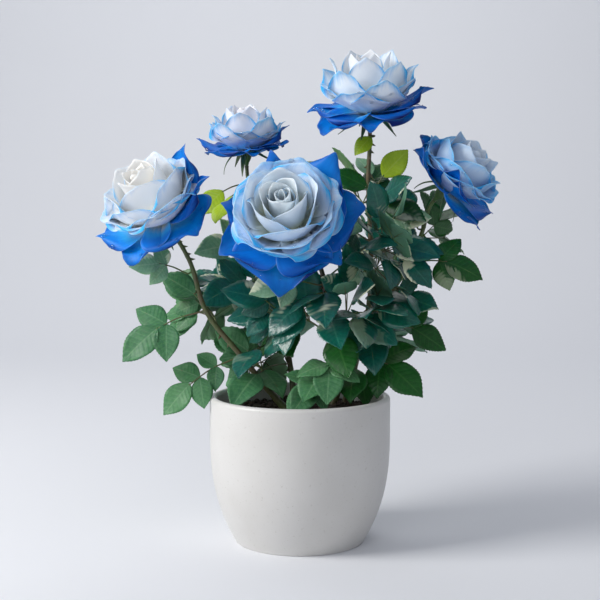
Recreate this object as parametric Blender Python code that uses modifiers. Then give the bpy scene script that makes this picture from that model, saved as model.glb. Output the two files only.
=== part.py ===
"""A rose bush in a round ceramic pot: five canes, each with one large bloom, and leafy side shoots.

Metres, +Z up. The origin is the centre of the pot's flat underside, and -Y is the bush's front.
Everything grows by rule from the sizes named below: the pot and the soil are turned, the canes are
swept along smooth paths, and each bloom and each leafy shoot is fused from its own pieces.
"""
import math
import random

import bmesh
import bpy
import numpy as np
from mathutils import Matrix, Vector
from mathutils.bvhtree import BVHTree
from mathutils.geometry import interpolate_bezier

# ---------------------------------------------------------------- driving dimensions

GAP = 0.0003                     # clearance between neighbouring solids
# Ways tried in turn to fuse a body: solver, and the distance under which its corners become one.
FUSING_TRIES = (("MANIFOLD", 0.000002), ("MANIFOLD", 0.0), ("EXACT", 0.000002), ("EXACT", 0.0))

POT_HEIGHT = 0.130
POT_RADIUS = 0.080
POT_BASE_RADIUS = 0.057
POT_WALL = 0.0065
POT_FLOOR = 0.010
POT_FOOT_BEVEL = 0.0012
BELLY_HEIGHT = 0.100             # above this the wall stands upright
BELLY_POWER = 2.65               # how quickly the wall swells out of the base
POT_STEPS = 32
INNER_LEVELS = (0.010, 0.030, 0.050, 0.075, 0.100)
OUTER_LEVELS = (0.100, 0.080, 0.062, 0.046, 0.032, 0.020, 0.010)
RIM_STEPS = 5
SOIL_TOP = 0.114

CORNER_TURN = 0.35               # radians: keeps a limb's corners off its leaves' own planes
CANE_SIDES = 6
CANE_FOOT_RADIUS = 0.0027
CANE_TIP_RADIUS = 0.0017
CANE_STEPS_PER_KNOT = 4

# Each cane rises from a foot on the soil, passes its knots and ends under its bloom.
CANES = {
    "left": dict(foot=(-0.010, 0.000), lean=(-0.70, 0.00, 0.70),
                 knots=((-0.055, 0.000, 0.168), (-0.083, -0.002, 0.205), (-0.096, -0.008, 0.248))),
    "front": dict(foot=(0.019, -0.014), lean=(0.10, -0.02, 1.00),
                  knots=((0.027, -0.016, 0.172), (0.023, -0.022, 0.212), (0.016, -0.026, 0.248))),
    "right": dict(foot=(0.026, 0.006), lean=(0.50, 0.00, 0.85),
                  knots=((0.050, 0.006, 0.177), (0.088, 0.004, 0.232), (0.106, 0.002, 0.270))),
    "top": dict(foot=(0.040, 0.024), lean=(0.18, 0.00, 1.00),
                knots=((0.050, 0.024, 0.152), (0.063, 0.016, 0.222), (0.060, 0.004, 0.320))),
    "back": dict(foot=(-0.004, 0.030), lean=(-0.15, 0.20, 1.00),
                 knots=((-0.014, 0.048, 0.180), (-0.034, 0.068, 0.260))),
}

# Seat, axis and radius of each bloom. A guard is one of its own outer petals, told as
# (clock angle in degrees, length, lean in degrees, half width, tip curl in degrees, edge roll in degrees),
# with lengths and widths in bloom radii. Seen on its face, a bloom's clock angle is 0 to the right, 90 up.
BLOOMS = {
    "left": dict(seat=(-0.111, -0.015, 0.276), axis=(-0.42, -0.48, 0.77), radius=0.060, turn=20, seed=3,
                 guards=((-95, 1.02, 104, 0.62, 30, 10), (-20, 1.10, 94, 0.62, 40, 35),
                         (25, 1.02, 74, 0.46, 20, 60), (75, 1.02, 60, 0.50, 35, 30),
                         (160, 1.08, 80, 0.50, 35, 35), (215, 1.00, 88, 0.50, 25, 30))),
    "front": dict(seat=(-0.009, -0.042, 0.272), axis=(-0.10, -0.82, 0.56), radius=0.061, turn=75, seed=5,
                  guards=((-93, 1.16, 108, 0.70, 15, 10), (-38, 1.10, 90, 0.62, 60, 80),
                          (12, 1.20, 84, 0.60, 20, 25), (52, 1.22, 70, 0.62, 20, 20),
                          (105, 1.02, 64, 0.55, 40, 30), (165, 0.96, 80, 0.45, 50, 60),
                          (208, 1.12, 88, 0.55, 25, 30))),
    "top": dict(seat=(0.061, 0.000, 0.363), axis=(-0.05, -0.24, 0.97), radius=0.057, turn=100, seed=7,
                guards=((180, 1.06, 90, 0.60, 35, 20), (-140, 1.00, 112, 0.58, 15, 15),
                        (-80, 0.98, 102, 0.66, 50, 40), (-25, 1.10, 84, 0.50, 30, 45),
                        (5, 1.10, 70, 0.46, 15, 30), (60, 1.00, 88, 0.60, 30, 20),
                        (120, 1.00, 88, 0.60, 30, 20))),
    "right": dict(seat=(0.1175, 0.000, 0.302), axis=(0.60, -0.34, 0.72), radius=0.052, turn=155, seed=9,
                  guards=((-100, 1.10, 98, 0.60, 15, 10), (-50, 1.06, 88, 0.55, 20, 30),
                          (150, 1.12, 74, 0.55, 10, 30), (195, 1.02, 60, 0.60, 25, 25),
                          (100, 1.02, 66, 0.52, 20, 40), (30, 0.98, 74, 0.55, 30, 20))),
    "back": dict(seat=(-0.050, 0.080, 0.334), axis=(-0.03, -0.16, 0.98), radius=0.046, turn=200, seed=11,
                 guards=((185, 1.10, 84, 0.60, 25, 30), (-130, 1.10, 96, 0.62, 25, 25),
                         (-70, 1.00, 92, 0.62, 30, 20), (-15, 1.06, 82, 0.55, 25, 30),
                         (10, 1.06, 64, 0.50, 15, 40), (60, 1.00, 88, 0.60, 25, 20),
                         (125, 1.00, 88, 0.60, 25, 20))),
}

# A single leaf: name, its cane, the height where it leaves it, its azimuth (0 to the right, -90 to the
# front) and its rise in degrees, its reach, its pairs of side leaflets, the length of its end leaflet
# and the way its blades face.
FRONT = (0.0, -1.0, 0.45)
FRONT_LEFT = (-0.35, -1.0, 0.40)
FRONT_RIGHT = (0.35, -1.0, 0.40)
SINGLE_LEAVES = (
    ("left_low", "left", 0.166, -165, -36, 0.088, 2, 0.034, FRONT_LEFT),
    ("left_mid", "left", 0.206, -165, -30, 0.088, 1, 0.040, FRONT_LEFT),
    ("left_high", "left", 0.240, -160, 9, 0.055, 1, 0.026, FRONT),
    ("left_inner", "back", 0.225, -140, -10, 0.080, 1, 0.038, FRONT_RIGHT),
    ("left_upper", "back", 0.252, -145, 5, 0.072, 1, 0.036, FRONT),
    ("back_lime", "back", 0.318, -150, -30, 0.060, 0, 0.030, FRONT),
    ("front_left", "front", 0.216, -150, -34, 0.064, 0, 0.038, FRONT_LEFT),
    ("front_curled", "front", 0.230, -160, -4, 0.066, 1, 0.030, FRONT),
    ("low_front_left", "back", 0.152, -120, -14, 0.100, 1, 0.043, FRONT_LEFT),
    ("low_front_mid", "front", 0.146, -125, -24, 0.056, 1, 0.032, FRONT),
    ("low_front_right", "front", 0.168, -95, -38, 0.060, 1, 0.036, FRONT),
    ("low_right", "right", 0.168, -35, -24, 0.080, 1, 0.042, FRONT_RIGHT),
    ("low_right_small", "top", 0.150, -75, -40, 0.044, 0, 0.030, FRONT_RIGHT),
    ("right_mid", "right", 0.198, -14, -20, 0.072, 1, 0.034, FRONT_RIGHT),
    ("right_dark", "right", 0.214, -45, 2, 0.056, 1, 0.034, FRONT_RIGHT),
    ("right_high", "right", 0.250, -22, -10, 0.066, 1, 0.034, FRONT_RIGHT),
    ("right_top", "right", 0.276, 130, 55, 0.048, 0, 0.030, FRONT),
    ("top_lime", "top", 0.311, -15, 50, 0.046, 0, 0.030, FRONT_RIGHT),
    ("top_mid_right", "top", 0.275, -25, 16, 0.054, 1, 0.030, FRONT),
    ("top_mid_left", "top", 0.268, -130, 8, 0.052, 1, 0.028, FRONT),
)
# A branching shoot: name, cane, height, azimuth and rise, then the length of its stem, how many leaves
# grow round it, the pairs of side leaflets on each and the length of an end leaflet.
BRANCHING_SHOOTS = (
    ("top_front", "top", 0.250, -70, 20, 0.030, 4, 1, 0.034),
    ("top_low", "top", 0.200, -80, 25, 0.028, 3, 1, 0.036),
    ("top_back", "top", 0.225, 76, 30, 0.034, 3, 1, 0.036),
    ("top_upper_back", "top", 0.290, 113, 35, 0.028, 3, 1, 0.032),
    ("top_base", "top", 0.160, 45, 30, 0.034, 3, 1, 0.036),
    ("right_front", "right", 0.222, -95, 15, 0.030, 3, 1, 0.034),
    ("right_back", "right", 0.212, 75, 25, 0.034, 3, 1, 0.036),
    ("right_upper_back", "right", 0.258, 70, 30, 0.024, 3, 1, 0.030),
    ("front_right", "front", 0.196, -27, 20, 0.030, 3, 1, 0.036),
    ("front_inner", "front", 0.236, 10, 25, 0.028, 3, 1, 0.032),
    ("front_side", "front", 0.190, 178, 20, 0.034, 3, 1, 0.034),
    ("back_left", "back", 0.200, 170, 20, 0.034, 3, 1, 0.034),
    ("back_rear", "back", 0.215, 80, 25, 0.034, 3, 1, 0.036),
    ("back_upper", "back", 0.270, 20, 30, 0.030, 3, 1, 0.034),
    ("back_base", "back", 0.155, 113, 30, 0.034, 3, 1, 0.036),
    ("left_rear", "left", 0.190, 110, 25, 0.030, 3, 1, 0.032),
    ("left_base", "left", 0.142, 97, 30, 0.030, 3, 1, 0.034),
)

# The petals inside the guards follow a spiral. Their shape is told at a few key petals, counted
# from the heart, and lies between those for the rest. Lengths are in bloom radii.
KEY_PETALS = (0, 5, 10, 16, 21)
MOUTH_RADIUS = (0.05, 0.20, 0.38, 0.56, 0.78)
MOUTH_HEIGHT = (0.86, 0.94, 0.94, 0.80, 0.54)
BELLY_RADIUS = (0.06, 0.30, 0.62, 0.82, 0.84)
TIP_CURL = (0, 14, 38, 62, 66)           # degrees
HALF_WIDTH = (0.30, 0.44, 0.54, 0.58, 0.60)
EDGE_ROLL = (0, 5, 25, 50, 55)           # degrees
SPIRAL_PETALS = 22
SOLID_PETALS = (13, 15, 17, 19, 21)      # those further in are the bud core
SPIRAL_TURN = 137.5                      # degrees from each petal to the next
SPIRAL_PITCH = 0.011                     # a petal's own edge runs out this much per radian
PETAL_THICKNESS = 0.0008
PETAL_COLUMNS = 4
PETAL_ROWS = 2                           # from where a petal leaves the core to its rim
GUARD_ROWS = 2
PETAL_SUNK = 0.04                        # of its length, that its root is sunk in the core
LATEST_ROOT = 0.5
WIDEST = 0.62                            # where along its length a petal is widest
RIM_NARROWING = 0.22
CLAW_RADIUS = 0.07
CLAW_HEIGHT = 0.06
CLAW_WIDTH = 0.40                        # of the petal's width
FLATTENING = 1.25                        # how much flatter than the bud's round the petals are
GUARD_FLATNESS = 3.0
GUARD_STRETCH = 0.85                     # of a guard's length that lies along its lean
GUARD_LIFT = 0.12                        # rise of its rim over that line
GUARD_BELLY = 0.45                       # where along its length it bends
GUARD_CUP = 0.32                         # how high it bends there when it stands up
SOLID_ROLL = 0.4                         # share of the edge roll that the coarse solids show
RIM_DROP = 0.16
TIP_POINT = 0.08
CURL_SHARE = 0.22                        # the tip's share of the petal's length that curls
CORE_PETAL = 11                          # the bud core has this petal's outline, but its own curl
CORE_CURL = -10
CORE_PICKS = (12, 18, 24)                # of the 25 points down that petal's middle
CORE_BASE = ((0.26, 0.03), (0.40, 0.12))
CORE_STEPS = 8
CORE_DISH = 0.14
HIP_PROFILE = ((0.0017, 0.0), (0.0024, 0.003), (0.0048, 0.007), (0.0050, 0.011), (0.0042, 0.014))
HIP_STEPS = 6
HIP_SUNK = 0.010                         # the hip's top inside the core
SEPALS = 5
SEPAL_LENGTH = 0.030
SEPAL_WIDTH = 0.007
SEPAL_THICKNESS = 0.0007
SEPAL_LEAN = 128                         # degrees from the bloom's axis

# Corners of a blade every 60 degrees from its tip, as shares of its length and half width.
BLADE_OUTLINE = ((1.0, 0.0), (0.66, 0.88), (0.24, 0.88), (0.0, 0.0), (0.24, -0.88), (0.66, -0.88))
LEAF_THICKNESS = 0.0006
LEAF_WIDTH = 0.68                        # of a leaflet's length
LEAF_FOLD = 0.16                         # rise of its edge above the midrib, of its half width
LEAF_DROOP = 0.12                        # fall of its tip, of its length
LATERAL_ANGLE = 62                       # degrees between a side leaflet and the leaf stalk
LATERAL_SHARES = (0.76, 0.40)            # where its pairs of side leaflets sit on a stalk
LATERAL_SIZES = (0.86, 0.66)             # their lengths, of the end leaflet's
LEAF_REACH = 0.056                       # from stem to tip, for the leaves of a branching shoot
LEAF_SPREAD = 58                         # degrees between such a leaf and its stem
END_LEAF_SUNK = 0.0020                   # how deep the end leaflet's root is sunk in its stalk
SIDE_LEAF_SUNK = 0.0003                  # how far past the stalk's middle a side leaflet's root reaches
TWIG_RADIUS = 0.0010
TWIG_TIP_RADIUS = 0.0007
TWIG_SIDES = 3
LEAF_CLEARANCE = 0.0007                  # kept between a leaf and everything that isn't its own shoot
STALK_ARCH = 0.10                        # rise of a stalk's middle, of its reach
ARCH_PARTS = 4
STEM_PARTS = 3
LONG_STALK_PARTS = 2                     # straight lengths in the stalk of a leaf that grows from a cane
SHORT_STALK_PARTS = 1                    # and of a leaf on a branching shoot
COLLAR = 0.003                           # a shoot leaves its cane square to it for this length
LEAF_TRIES = 7                           # turns round the stem before a leaf is skipped
TRY_TURN = 50.0                          # degrees from one try to the next
LEAFY_SHARE = 0.62                       # of a stem's length, from its tip, that carries leaves
END_LEAF_SPREAD = 0.35                   # the leaf at its tip keeps nearer to its line
LIGHT_PULL = 0.25                        # how far leaves turn to the open side of the bush
BUSH_MIDDLE = (0.020, 0.015)
UPWARDS = Vector((0.0, 0.0, 1.0))


# ---------------------------------------------------------------- materials and collections

def clear_scene():
    """Remove everything that a new file starts with."""
    for item in list(bpy.data.objects):
        bpy.data.objects.remove(item, do_unlink=True)


def make_material(name, colour, roughness):
    """A Principled material of one plain colour."""
    material = bpy.data.materials.new(name)
    material.use_nodes = True
    shader = material.node_tree.nodes["Principled BSDF"]
    shader.inputs["Base Color"].default_value = (*colour, 1.0)
    shader.inputs["Roughness"].default_value = roughness
    return material


def new_collection(name):
    """A collection linked to the scene."""
    collection = bpy.data.collections.new(name)
    bpy.context.scene.collection.children.link(collection)
    return collection


def object_from_bmesh(name, bm, collection):
    """Turn a bmesh into an object in a collection."""
    mesh = bpy.data.meshes.new(name)
    bm.to_mesh(mesh)
    bm.free()
    item = bpy.data.objects.new(name, mesh)
    collection.objects.link(item)
    return item


# ---------------------------------------------------------------- pot and soil

def pot_radius(height):
    """Outer radius of the pot at a height: a base that swells out and then stands upright."""
    share = min(height / BELLY_HEIGHT, 1.0)
    return POT_BASE_RADIUS + (POT_RADIUS - POT_BASE_RADIUS) * (1.0 - (1.0 - share) ** BELLY_POWER)


def turned(name, profile, collection):
    """Turn a profile of (radius, height) round Z with a Screw modifier."""
    mesh = bpy.data.meshes.new(name)
    points = [(radius, 0.0, height) for radius, height in profile]
    edges = [(index, index + 1) for index in range(len(points) - 1)]
    mesh.from_pydata(points, edges, [])
    item = bpy.data.objects.new(name, mesh)
    collection.objects.link(item)
    screw = item.modifiers.new("turn", "SCREW")
    screw.steps = POT_STEPS
    screw.render_steps = POT_STEPS
    screw.use_merge_vertices = True
    screw.merge_threshold = 0.00001
    screw.use_smooth_shade = True
    return item


def make_pot(collection):
    """The pot's shell: inner floor and wall, round lip, outer wall, flat underside."""
    profile = [(0.0, POT_FLOOR)]
    profile += [(pot_radius(height) - POT_WALL, height) for height in INNER_LEVELS]
    lip = POT_WALL / 2.0
    for step in range(RIM_STEPS):
        angle = math.pi * (1.0 - step / (RIM_STEPS - 1))
        radius = POT_RADIUS - lip + lip * math.cos(angle)
        profile.append((radius, POT_HEIGHT - lip + lip * math.sin(angle)))
    profile += [(pot_radius(height), height) for height in OUTER_LEVELS]
    profile.append((pot_radius(POT_FOOT_BEVEL), POT_FOOT_BEVEL))
    profile.append((POT_BASE_RADIUS - POT_FOOT_BEVEL, 0.0))
    profile.append((0.0, 0.0))
    return turned("pot", profile, collection)


def make_soil(collection):
    """The potting mix: it fills the pot to below the lip, clear of the wall by the gap."""
    profile = [(0.0, SOIL_TOP), (POT_RADIUS - POT_WALL - GAP, SOIL_TOP)]
    for height in reversed(INNER_LEVELS[1:]):
        profile.append((pot_radius(height) - POT_WALL - GAP, height))
    profile.append((pot_radius(POT_FLOOR) - POT_WALL - GAP, POT_FLOOR + GAP))
    profile.append((0.0, POT_FLOOR + GAP))
    return turned("soil", profile, collection)


# ---------------------------------------------------------------- paths and swept limbs

def smooth_path(knots, start, end, steps):
    """Points along a smooth curve through the knots, with set directions at both ends."""
    knots = [Vector(knot) for knot in knots]
    tangents = [Vector(start).normalized()]
    for before, after in zip(knots, knots[2:]):
        tangents.append((after - before).normalized())
    tangents.append(Vector(end).normalized())
    points = [knots[0]]
    for index in range(len(knots) - 1):
        reach = (knots[index + 1] - knots[index]).length / 3.0
        leave = knots[index] + tangents[index] * reach
        arrive = knots[index + 1] - tangents[index + 1] * reach
        points += interpolate_bezier(knots[index], leave, arrive, knots[index + 1], steps + 1)[1:]
    return points


def path_directions(points):
    """Unit direction of a path at each of its points."""
    directions = []
    for index in range(len(points)):
        before = points[max(index - 1, 0)]
        after = points[min(index + 1, len(points) - 1)]
        directions.append((after - before).normalized())
    return directions


def square_frame(direction, hint):
    """Two unit vectors square to a direction and to each other, the first nearest the hint."""
    first = hint - direction * hint.dot(direction)
    if first.length < 1e-4:
        first = direction.orthogonal()
    first.normalize()
    return first, direction.cross(first)


def shaped_grid(columns, rows, place):
    """A grid whose vertices go where place(across, along) says; both run from 0 to 1."""
    bm = bmesh.new()
    bmesh.ops.create_grid(bm, x_segments=columns, y_segments=rows, size=1.0)
    for vertex in bm.verts:
        vertex.co = place((vertex.co.x + 1.0) / 2.0, (vertex.co.y + 1.0) / 2.0)
    return bm


def limb(name, points, radii, sides, hint, collection, ends=(None, None)):
    """A closed tapering limb along a path: a grid rolled into a tube, seamed and capped.

    ends gives the directions that its two flat ends face, where the path's own won't do.
    """
    directions = path_directions(points)
    for index, end in zip((0, -1), ends):
        if end is not None:
            directions[index] = Vector(end).normalized()
    frames = [square_frame(direction, hint) for direction in directions]

    def place(across, along):
        row = round(along * (len(points) - 1))
        angle = 2.0 * math.pi * across + CORNER_TURN
        first, second = frames[row]
        return points[row] + (first * math.cos(angle) + second * math.sin(angle)) * radii[row]

    bm = shaped_grid(sides, len(points) - 1, place)
    bmesh.ops.remove_doubles(bm, verts=bm.verts, dist=0.00001)
    bmesh.ops.holes_fill(bm, edges=[edge for edge in bm.edges if edge.is_boundary], sides=sides)
    bmesh.ops.recalc_face_normals(bm, faces=bm.faces)
    return object_from_bmesh(name, bm, collection)


def tapered(start, end, count):
    """Evenly stepped radii from start to end."""
    return [start + (end - start) * index / (count - 1) for index in range(count)]


# ---------------------------------------------------------------- fusing pieces

def signed_volume(faces):
    """Volume enclosed by some faces, negative where they face inwards."""
    total = 0.0
    for face in faces:
        corners = [vertex.co for vertex in face.verts]
        for second, third in zip(corners[1:], corners[2:]):
            total += corners[0].dot(second.cross(third)) / 6.0
    return total


def keep_main_body(bm):
    """Fill sealed hollows and drop loose scraps: only the shell with the most volume stays."""
    unseen = set(bm.faces)
    shells = []
    while unseen:
        stack = [unseen.pop()]
        shell = list(stack)
        while stack:
            for edge in stack.pop().edges:
                for face in edge.link_faces:
                    if face in unseen:
                        unseen.remove(face)
                        stack.append(face)
                        shell.append(face)
        shells.append(shell)
    shells.sort(key=signed_volume)
    for shell in shells[:-1]:
        bmesh.ops.delete(bm, geom=shell, context="FACES")


def fused_body(base, union, solver, weld):
    """The union's result as one triangulated body, and whether it is closed and faces outwards.

    A corner where only two faces meet lies on their straight common edge. Were it kept, both faces
    would be cut along that same edge.
    """
    union.solver = solver
    joined = base.evaluated_get(bpy.context.evaluated_depsgraph_get())
    bm = bmesh.new()
    bm.from_mesh(bpy.data.meshes.new_from_object(joined))
    bmesh.ops.remove_doubles(bm, verts=bm.verts, dist=weld)
    bmesh.ops.dissolve_verts(bm, verts=[vertex for vertex in bm.verts if len(vertex.link_edges) == 2])
    bmesh.ops.triangulate(bm, faces=bm.faces)
    keep_main_body(bm)
    return bm, all(edge.is_manifold for edge in bm.edges) and signed_volume(bm.faces) > 0.0


def fuse(name, pieces, collection):
    """Join overlapping closed pieces into one body by one union on their collection."""
    others = new_collection(name + "_pieces")
    base = pieces[0]
    for piece in pieces[1:]:
        others.objects.link(piece)
        collection.objects.unlink(piece)
    union = base.modifiers.new("union", "BOOLEAN")
    union.operation = "UNION"
    union.operand_type = "COLLECTION"
    union.collection = others
    for attempt in FUSING_TRIES:
        bm, closed = fused_body(base, union, *attempt)
        if closed:
            break
    for piece in list(others.objects):
        bpy.data.objects.remove(piece, do_unlink=True)
    bpy.data.collections.remove(others)
    bpy.data.objects.remove(base, do_unlink=True)
    return object_from_bmesh(name, bm, collection)


# ---------------------------------------------------------------- blooms

def bloom_frame(axis):
    """Columns of a bloom's own frame: right and up on its face, and its axis towards the viewer."""
    axis = Vector(axis).normalized()
    up, _ = square_frame(axis, Vector((0.0, 0.0, 1.0)))
    right = up.cross(axis)
    return np.array((right, up, axis)).T


def spiral_petal(index, turn, draw):
    """Shape of one of the petals inside the guards, with a little chance in it."""
    def key(values):
        return float(np.interp(index, KEY_PETALS, values))
    return dict(clock=turn + SPIRAL_TURN * index, mouth=(key(MOUTH_RADIUS), key(MOUTH_HEIGHT)),
                belly=(key(BELLY_RADIUS), 0.30 * key(MOUTH_HEIGHT)),
                curl=key(TIP_CURL) * draw.uniform(0.8, 1.2), roll=key(EDGE_ROLL) * draw.uniform(0.7, 1.3),
                flat=1.0 + (FLATTENING - 1.0) * index / SPIRAL_PETALS, half_width=key(HALF_WIDTH), root=0.0,
                wave=0.012 * index / SPIRAL_PETALS, phase=draw.uniform(0.0, 2.0 * math.pi))


def guard_petal(guard, draw):
    """Shape of one outer petal: it leans out from the claw by its own angle."""
    clock, length, lean, half_width, curl, roll = guard
    lean = math.radians(lean)
    mouth = (CLAW_RADIUS + GUARD_STRETCH * length * math.sin(lean),
             CLAW_HEIGHT + GUARD_STRETCH * length * math.cos(lean) + GUARD_LIFT)
    belly = (GUARD_BELLY * length, CLAW_HEIGHT + GUARD_CUP * length * math.cos(lean) ** 2)
    return dict(clock=clock, mouth=mouth, belly=belly, curl=curl, roll=roll, half_width=half_width,
                flat=GUARD_FLATNESS, root=0.0, wave=0.030, phase=draw.uniform(0.0, 2.0 * math.pi))


def petal_spine(petal):
    """Middle line of a petal in the plane through the bloom's axis, as radius, height and slope."""
    claw = np.array((CLAW_RADIUS, CLAW_HEIGHT))
    belly = np.array(petal["belly"])
    mouth = np.array(petal["mouth"])
    share = np.linspace(0.0, 1.0, 25)[:, None]
    body = (1 - share) ** 2 * claw + 2 * share * (1 - share) * belly + share ** 2 * mouth
    steps = np.diff(body, axis=0)
    lean = np.arctan2(steps[:, 0], steps[:, 1])
    run = np.hypot(steps[:, 0], steps[:, 1])
    place = np.cumsum(run) / run.sum()
    curl = np.radians(petal["curl"]) * np.clip((place - 1.0 + CURL_SHARE) / CURL_SHARE, 0.0, 1.0) ** 1.3
    lean = lean + curl
    radius = claw[0] + np.concatenate(([0.0], np.cumsum(run * np.sin(lean))))
    height = claw[1] + np.concatenate(([0.0], np.cumsum(run * np.cos(lean))))
    return np.concatenate(([0.0], place)), radius, height, np.concatenate((lean[:1], lean))


def petal_surface(petal, across, along):
    """Points of a petal's middle surface in bloom radii, one row for each value of along.

    across runs from -1 to 1 between the petal's edges and along from 0 at the claw to 1 at the rim.
    """
    place, radius, height, lean = petal_spine(petal)
    fine = np.linspace(-1.0, 1.0, 49)
    rim = 1.0 - RIM_DROP * np.abs(across) ** 2.4
    rim = rim - TIP_POINT * (1.0 - np.exp(-(across / 0.22) ** 2))
    rows = []
    for share in along:
        spot = share * rim
        r, z, tilt = (np.interp(spot, place, values) for values in (radius, height, lean))
        middle = float(np.interp(share, place, radius))
        opened = math.sin(min((share - petal["root"]) / (WIDEST - petal["root"]), 1.0) * math.pi / 2.0)
        narrowed = max(0.0, (share - WIDEST) / (1.0 - WIDEST)) ** 2
        spread = (CLAW_WIDTH + (1.0 - CLAW_WIDTH) * opened) * (1.0 - RIM_NARROWING * narrowed)
        width = petal["half_width"] * spread
        bend = max(petal["flat"] * middle, 0.05)
        width = min(width, 2.5 * bend)
        edge = np.clip((np.abs(fine) - 0.45) / 0.55, 0.0, 1.0) ** 1.4
        turn = width * fine / bend - math.radians(petal["roll"]) * 1.6 * np.sign(fine) * edge * share ** 2
        heading = (turn[1:] + turn[:-1]) / 2.0
        sideways = np.concatenate(([0.0], np.cumsum(np.cos(heading) * np.diff(fine)))) * width
        inwards = np.concatenate(([0.0], np.cumsum(np.sin(heading) * np.diff(fine)))) * width
        half = len(fine) // 2
        side = np.interp(across, fine, sideways - sideways[half])
        inward = np.interp(across, fine, inwards - inwards[half])
        inward = inward - SPIRAL_PITCH * width * across / bend
        inward = inward + petal["wave"] * np.sin(across * 5.0 + petal["phase"]) * share ** 3
        out = r - np.cos(tilt) * inward
        rows.append(np.stack((out, side, z + np.sin(tilt) * inward), axis=-1))
    grid = np.stack(rows)
    angle = math.radians(petal["clock"])
    spin = np.array(((math.cos(angle), -math.sin(angle), 0.0),
                     (math.sin(angle), math.cos(angle), 0.0), (0.0, 0.0, 1.0)))
    return grid @ spin.T


def root_share(petal, core):
    """Where along its length a petal's root lies: just inside the core that it leaves."""
    place, radius, height, _ = petal_spine(petal)
    wall = np.interp(height, [point[1] for point in core], [point[0] for point in core], right=0.0)
    outside = np.nonzero(radius > wall)[0]
    clear = [index for index in outside if index > 2]
    return min(max(place[clear[0]] - PETAL_SUNK, 0.05), LATEST_ROOT)


def petal_solid(name, petal, rows, core, place, collection):
    """One coarse petal as a thin closed shell, from inside the core to its rim."""
    across = np.linspace(-1.0, 1.0, PETAL_COLUMNS + 1)
    petal["roll"] *= SOLID_ROLL
    petal["root"] = root_share(petal, core)
    shares = np.linspace(petal["root"], 1.0, rows + 1)
    points = place(petal_surface(petal, across, shares))

    def corner(x, y):
        return Vector(points[round(y * rows)][round(x * PETAL_COLUMNS)])

    item = object_from_bmesh(name, shaped_grid(PETAL_COLUMNS, rows, corner), collection)
    shell = item.modifiers.new("thickness", "SOLIDIFY")
    shell.thickness = PETAL_THICKNESS
    shell.offset = 0.0
    return applied(item)


def applied(item):
    """Apply an object's modifiers."""
    shape = item.evaluated_get(bpy.context.evaluated_depsgraph_get())
    item.data = bpy.data.meshes.new_from_object(shape)
    item.modifiers.clear()
    return item


def lathe(name, profile, steps, place, collection):
    """A closed solid turned from a profile whose two ends are on the axis."""
    bm = bmesh.new()
    verts = [bm.verts.new((radius, 0.0, height)) for radius, height in profile]
    edges = [bm.edges.new(pair) for pair in zip(verts, verts[1:])]
    bmesh.ops.spin(bm, geom=verts + edges, cent=(0, 0, 0), axis=(0, 0, 1), angle=2.0 * math.pi,
                   steps=steps, use_merge=True)
    bmesh.ops.remove_doubles(bm, verts=bm.verts, dist=0.00001)
    for vertex in bm.verts:
        vertex.co = Vector(place(np.array(vertex.co)))
    bmesh.ops.recalc_face_normals(bm, faces=bm.faces)
    return object_from_bmesh(name, bm, collection)


def core_profile():
    """The tight heart as one turned outline: the outside of its last petal, dished at the top."""
    petal = spiral_petal(CORE_PETAL, 0, random.Random(0))
    petal["curl"] = CORE_CURL
    _, radius, height, _ = petal_spine(petal)
    outline = [(radius[pick], height[pick]) for pick in CORE_PICKS]
    return [(0.0, 0.0)] + list(CORE_BASE) + outline + [(0.0, outline[-1][1] - CORE_DISH)]


def blade(root, direction, normal, length, width, thickness, droop, fold):
    """A flat pointed blade from a sphere of two rings: six points round it and a peak on each side."""
    bm = bmesh.new()
    bmesh.ops.create_uvsphere(bm, u_segments=6, v_segments=2, radius=1.0)
    side = normal.cross(direction)
    for vertex in bm.verts:
        if abs(vertex.co.z) > 0.5:
            along, across, lift = 0.48, 0.0, math.copysign(thickness / 2.0, vertex.co.z)
        else:
            corner = round(math.degrees(math.atan2(vertex.co.y, vertex.co.x)) / 60.0) % 6
            along, across = BLADE_OUTLINE[corner]
            lift = 0.0
        lift += fold * abs(across) * width / 2.0 - droop * along ** 2 * length
        vertex.co = root + direction * along * length + side * across * width / 2.0 + normal * lift
    return bm


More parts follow.
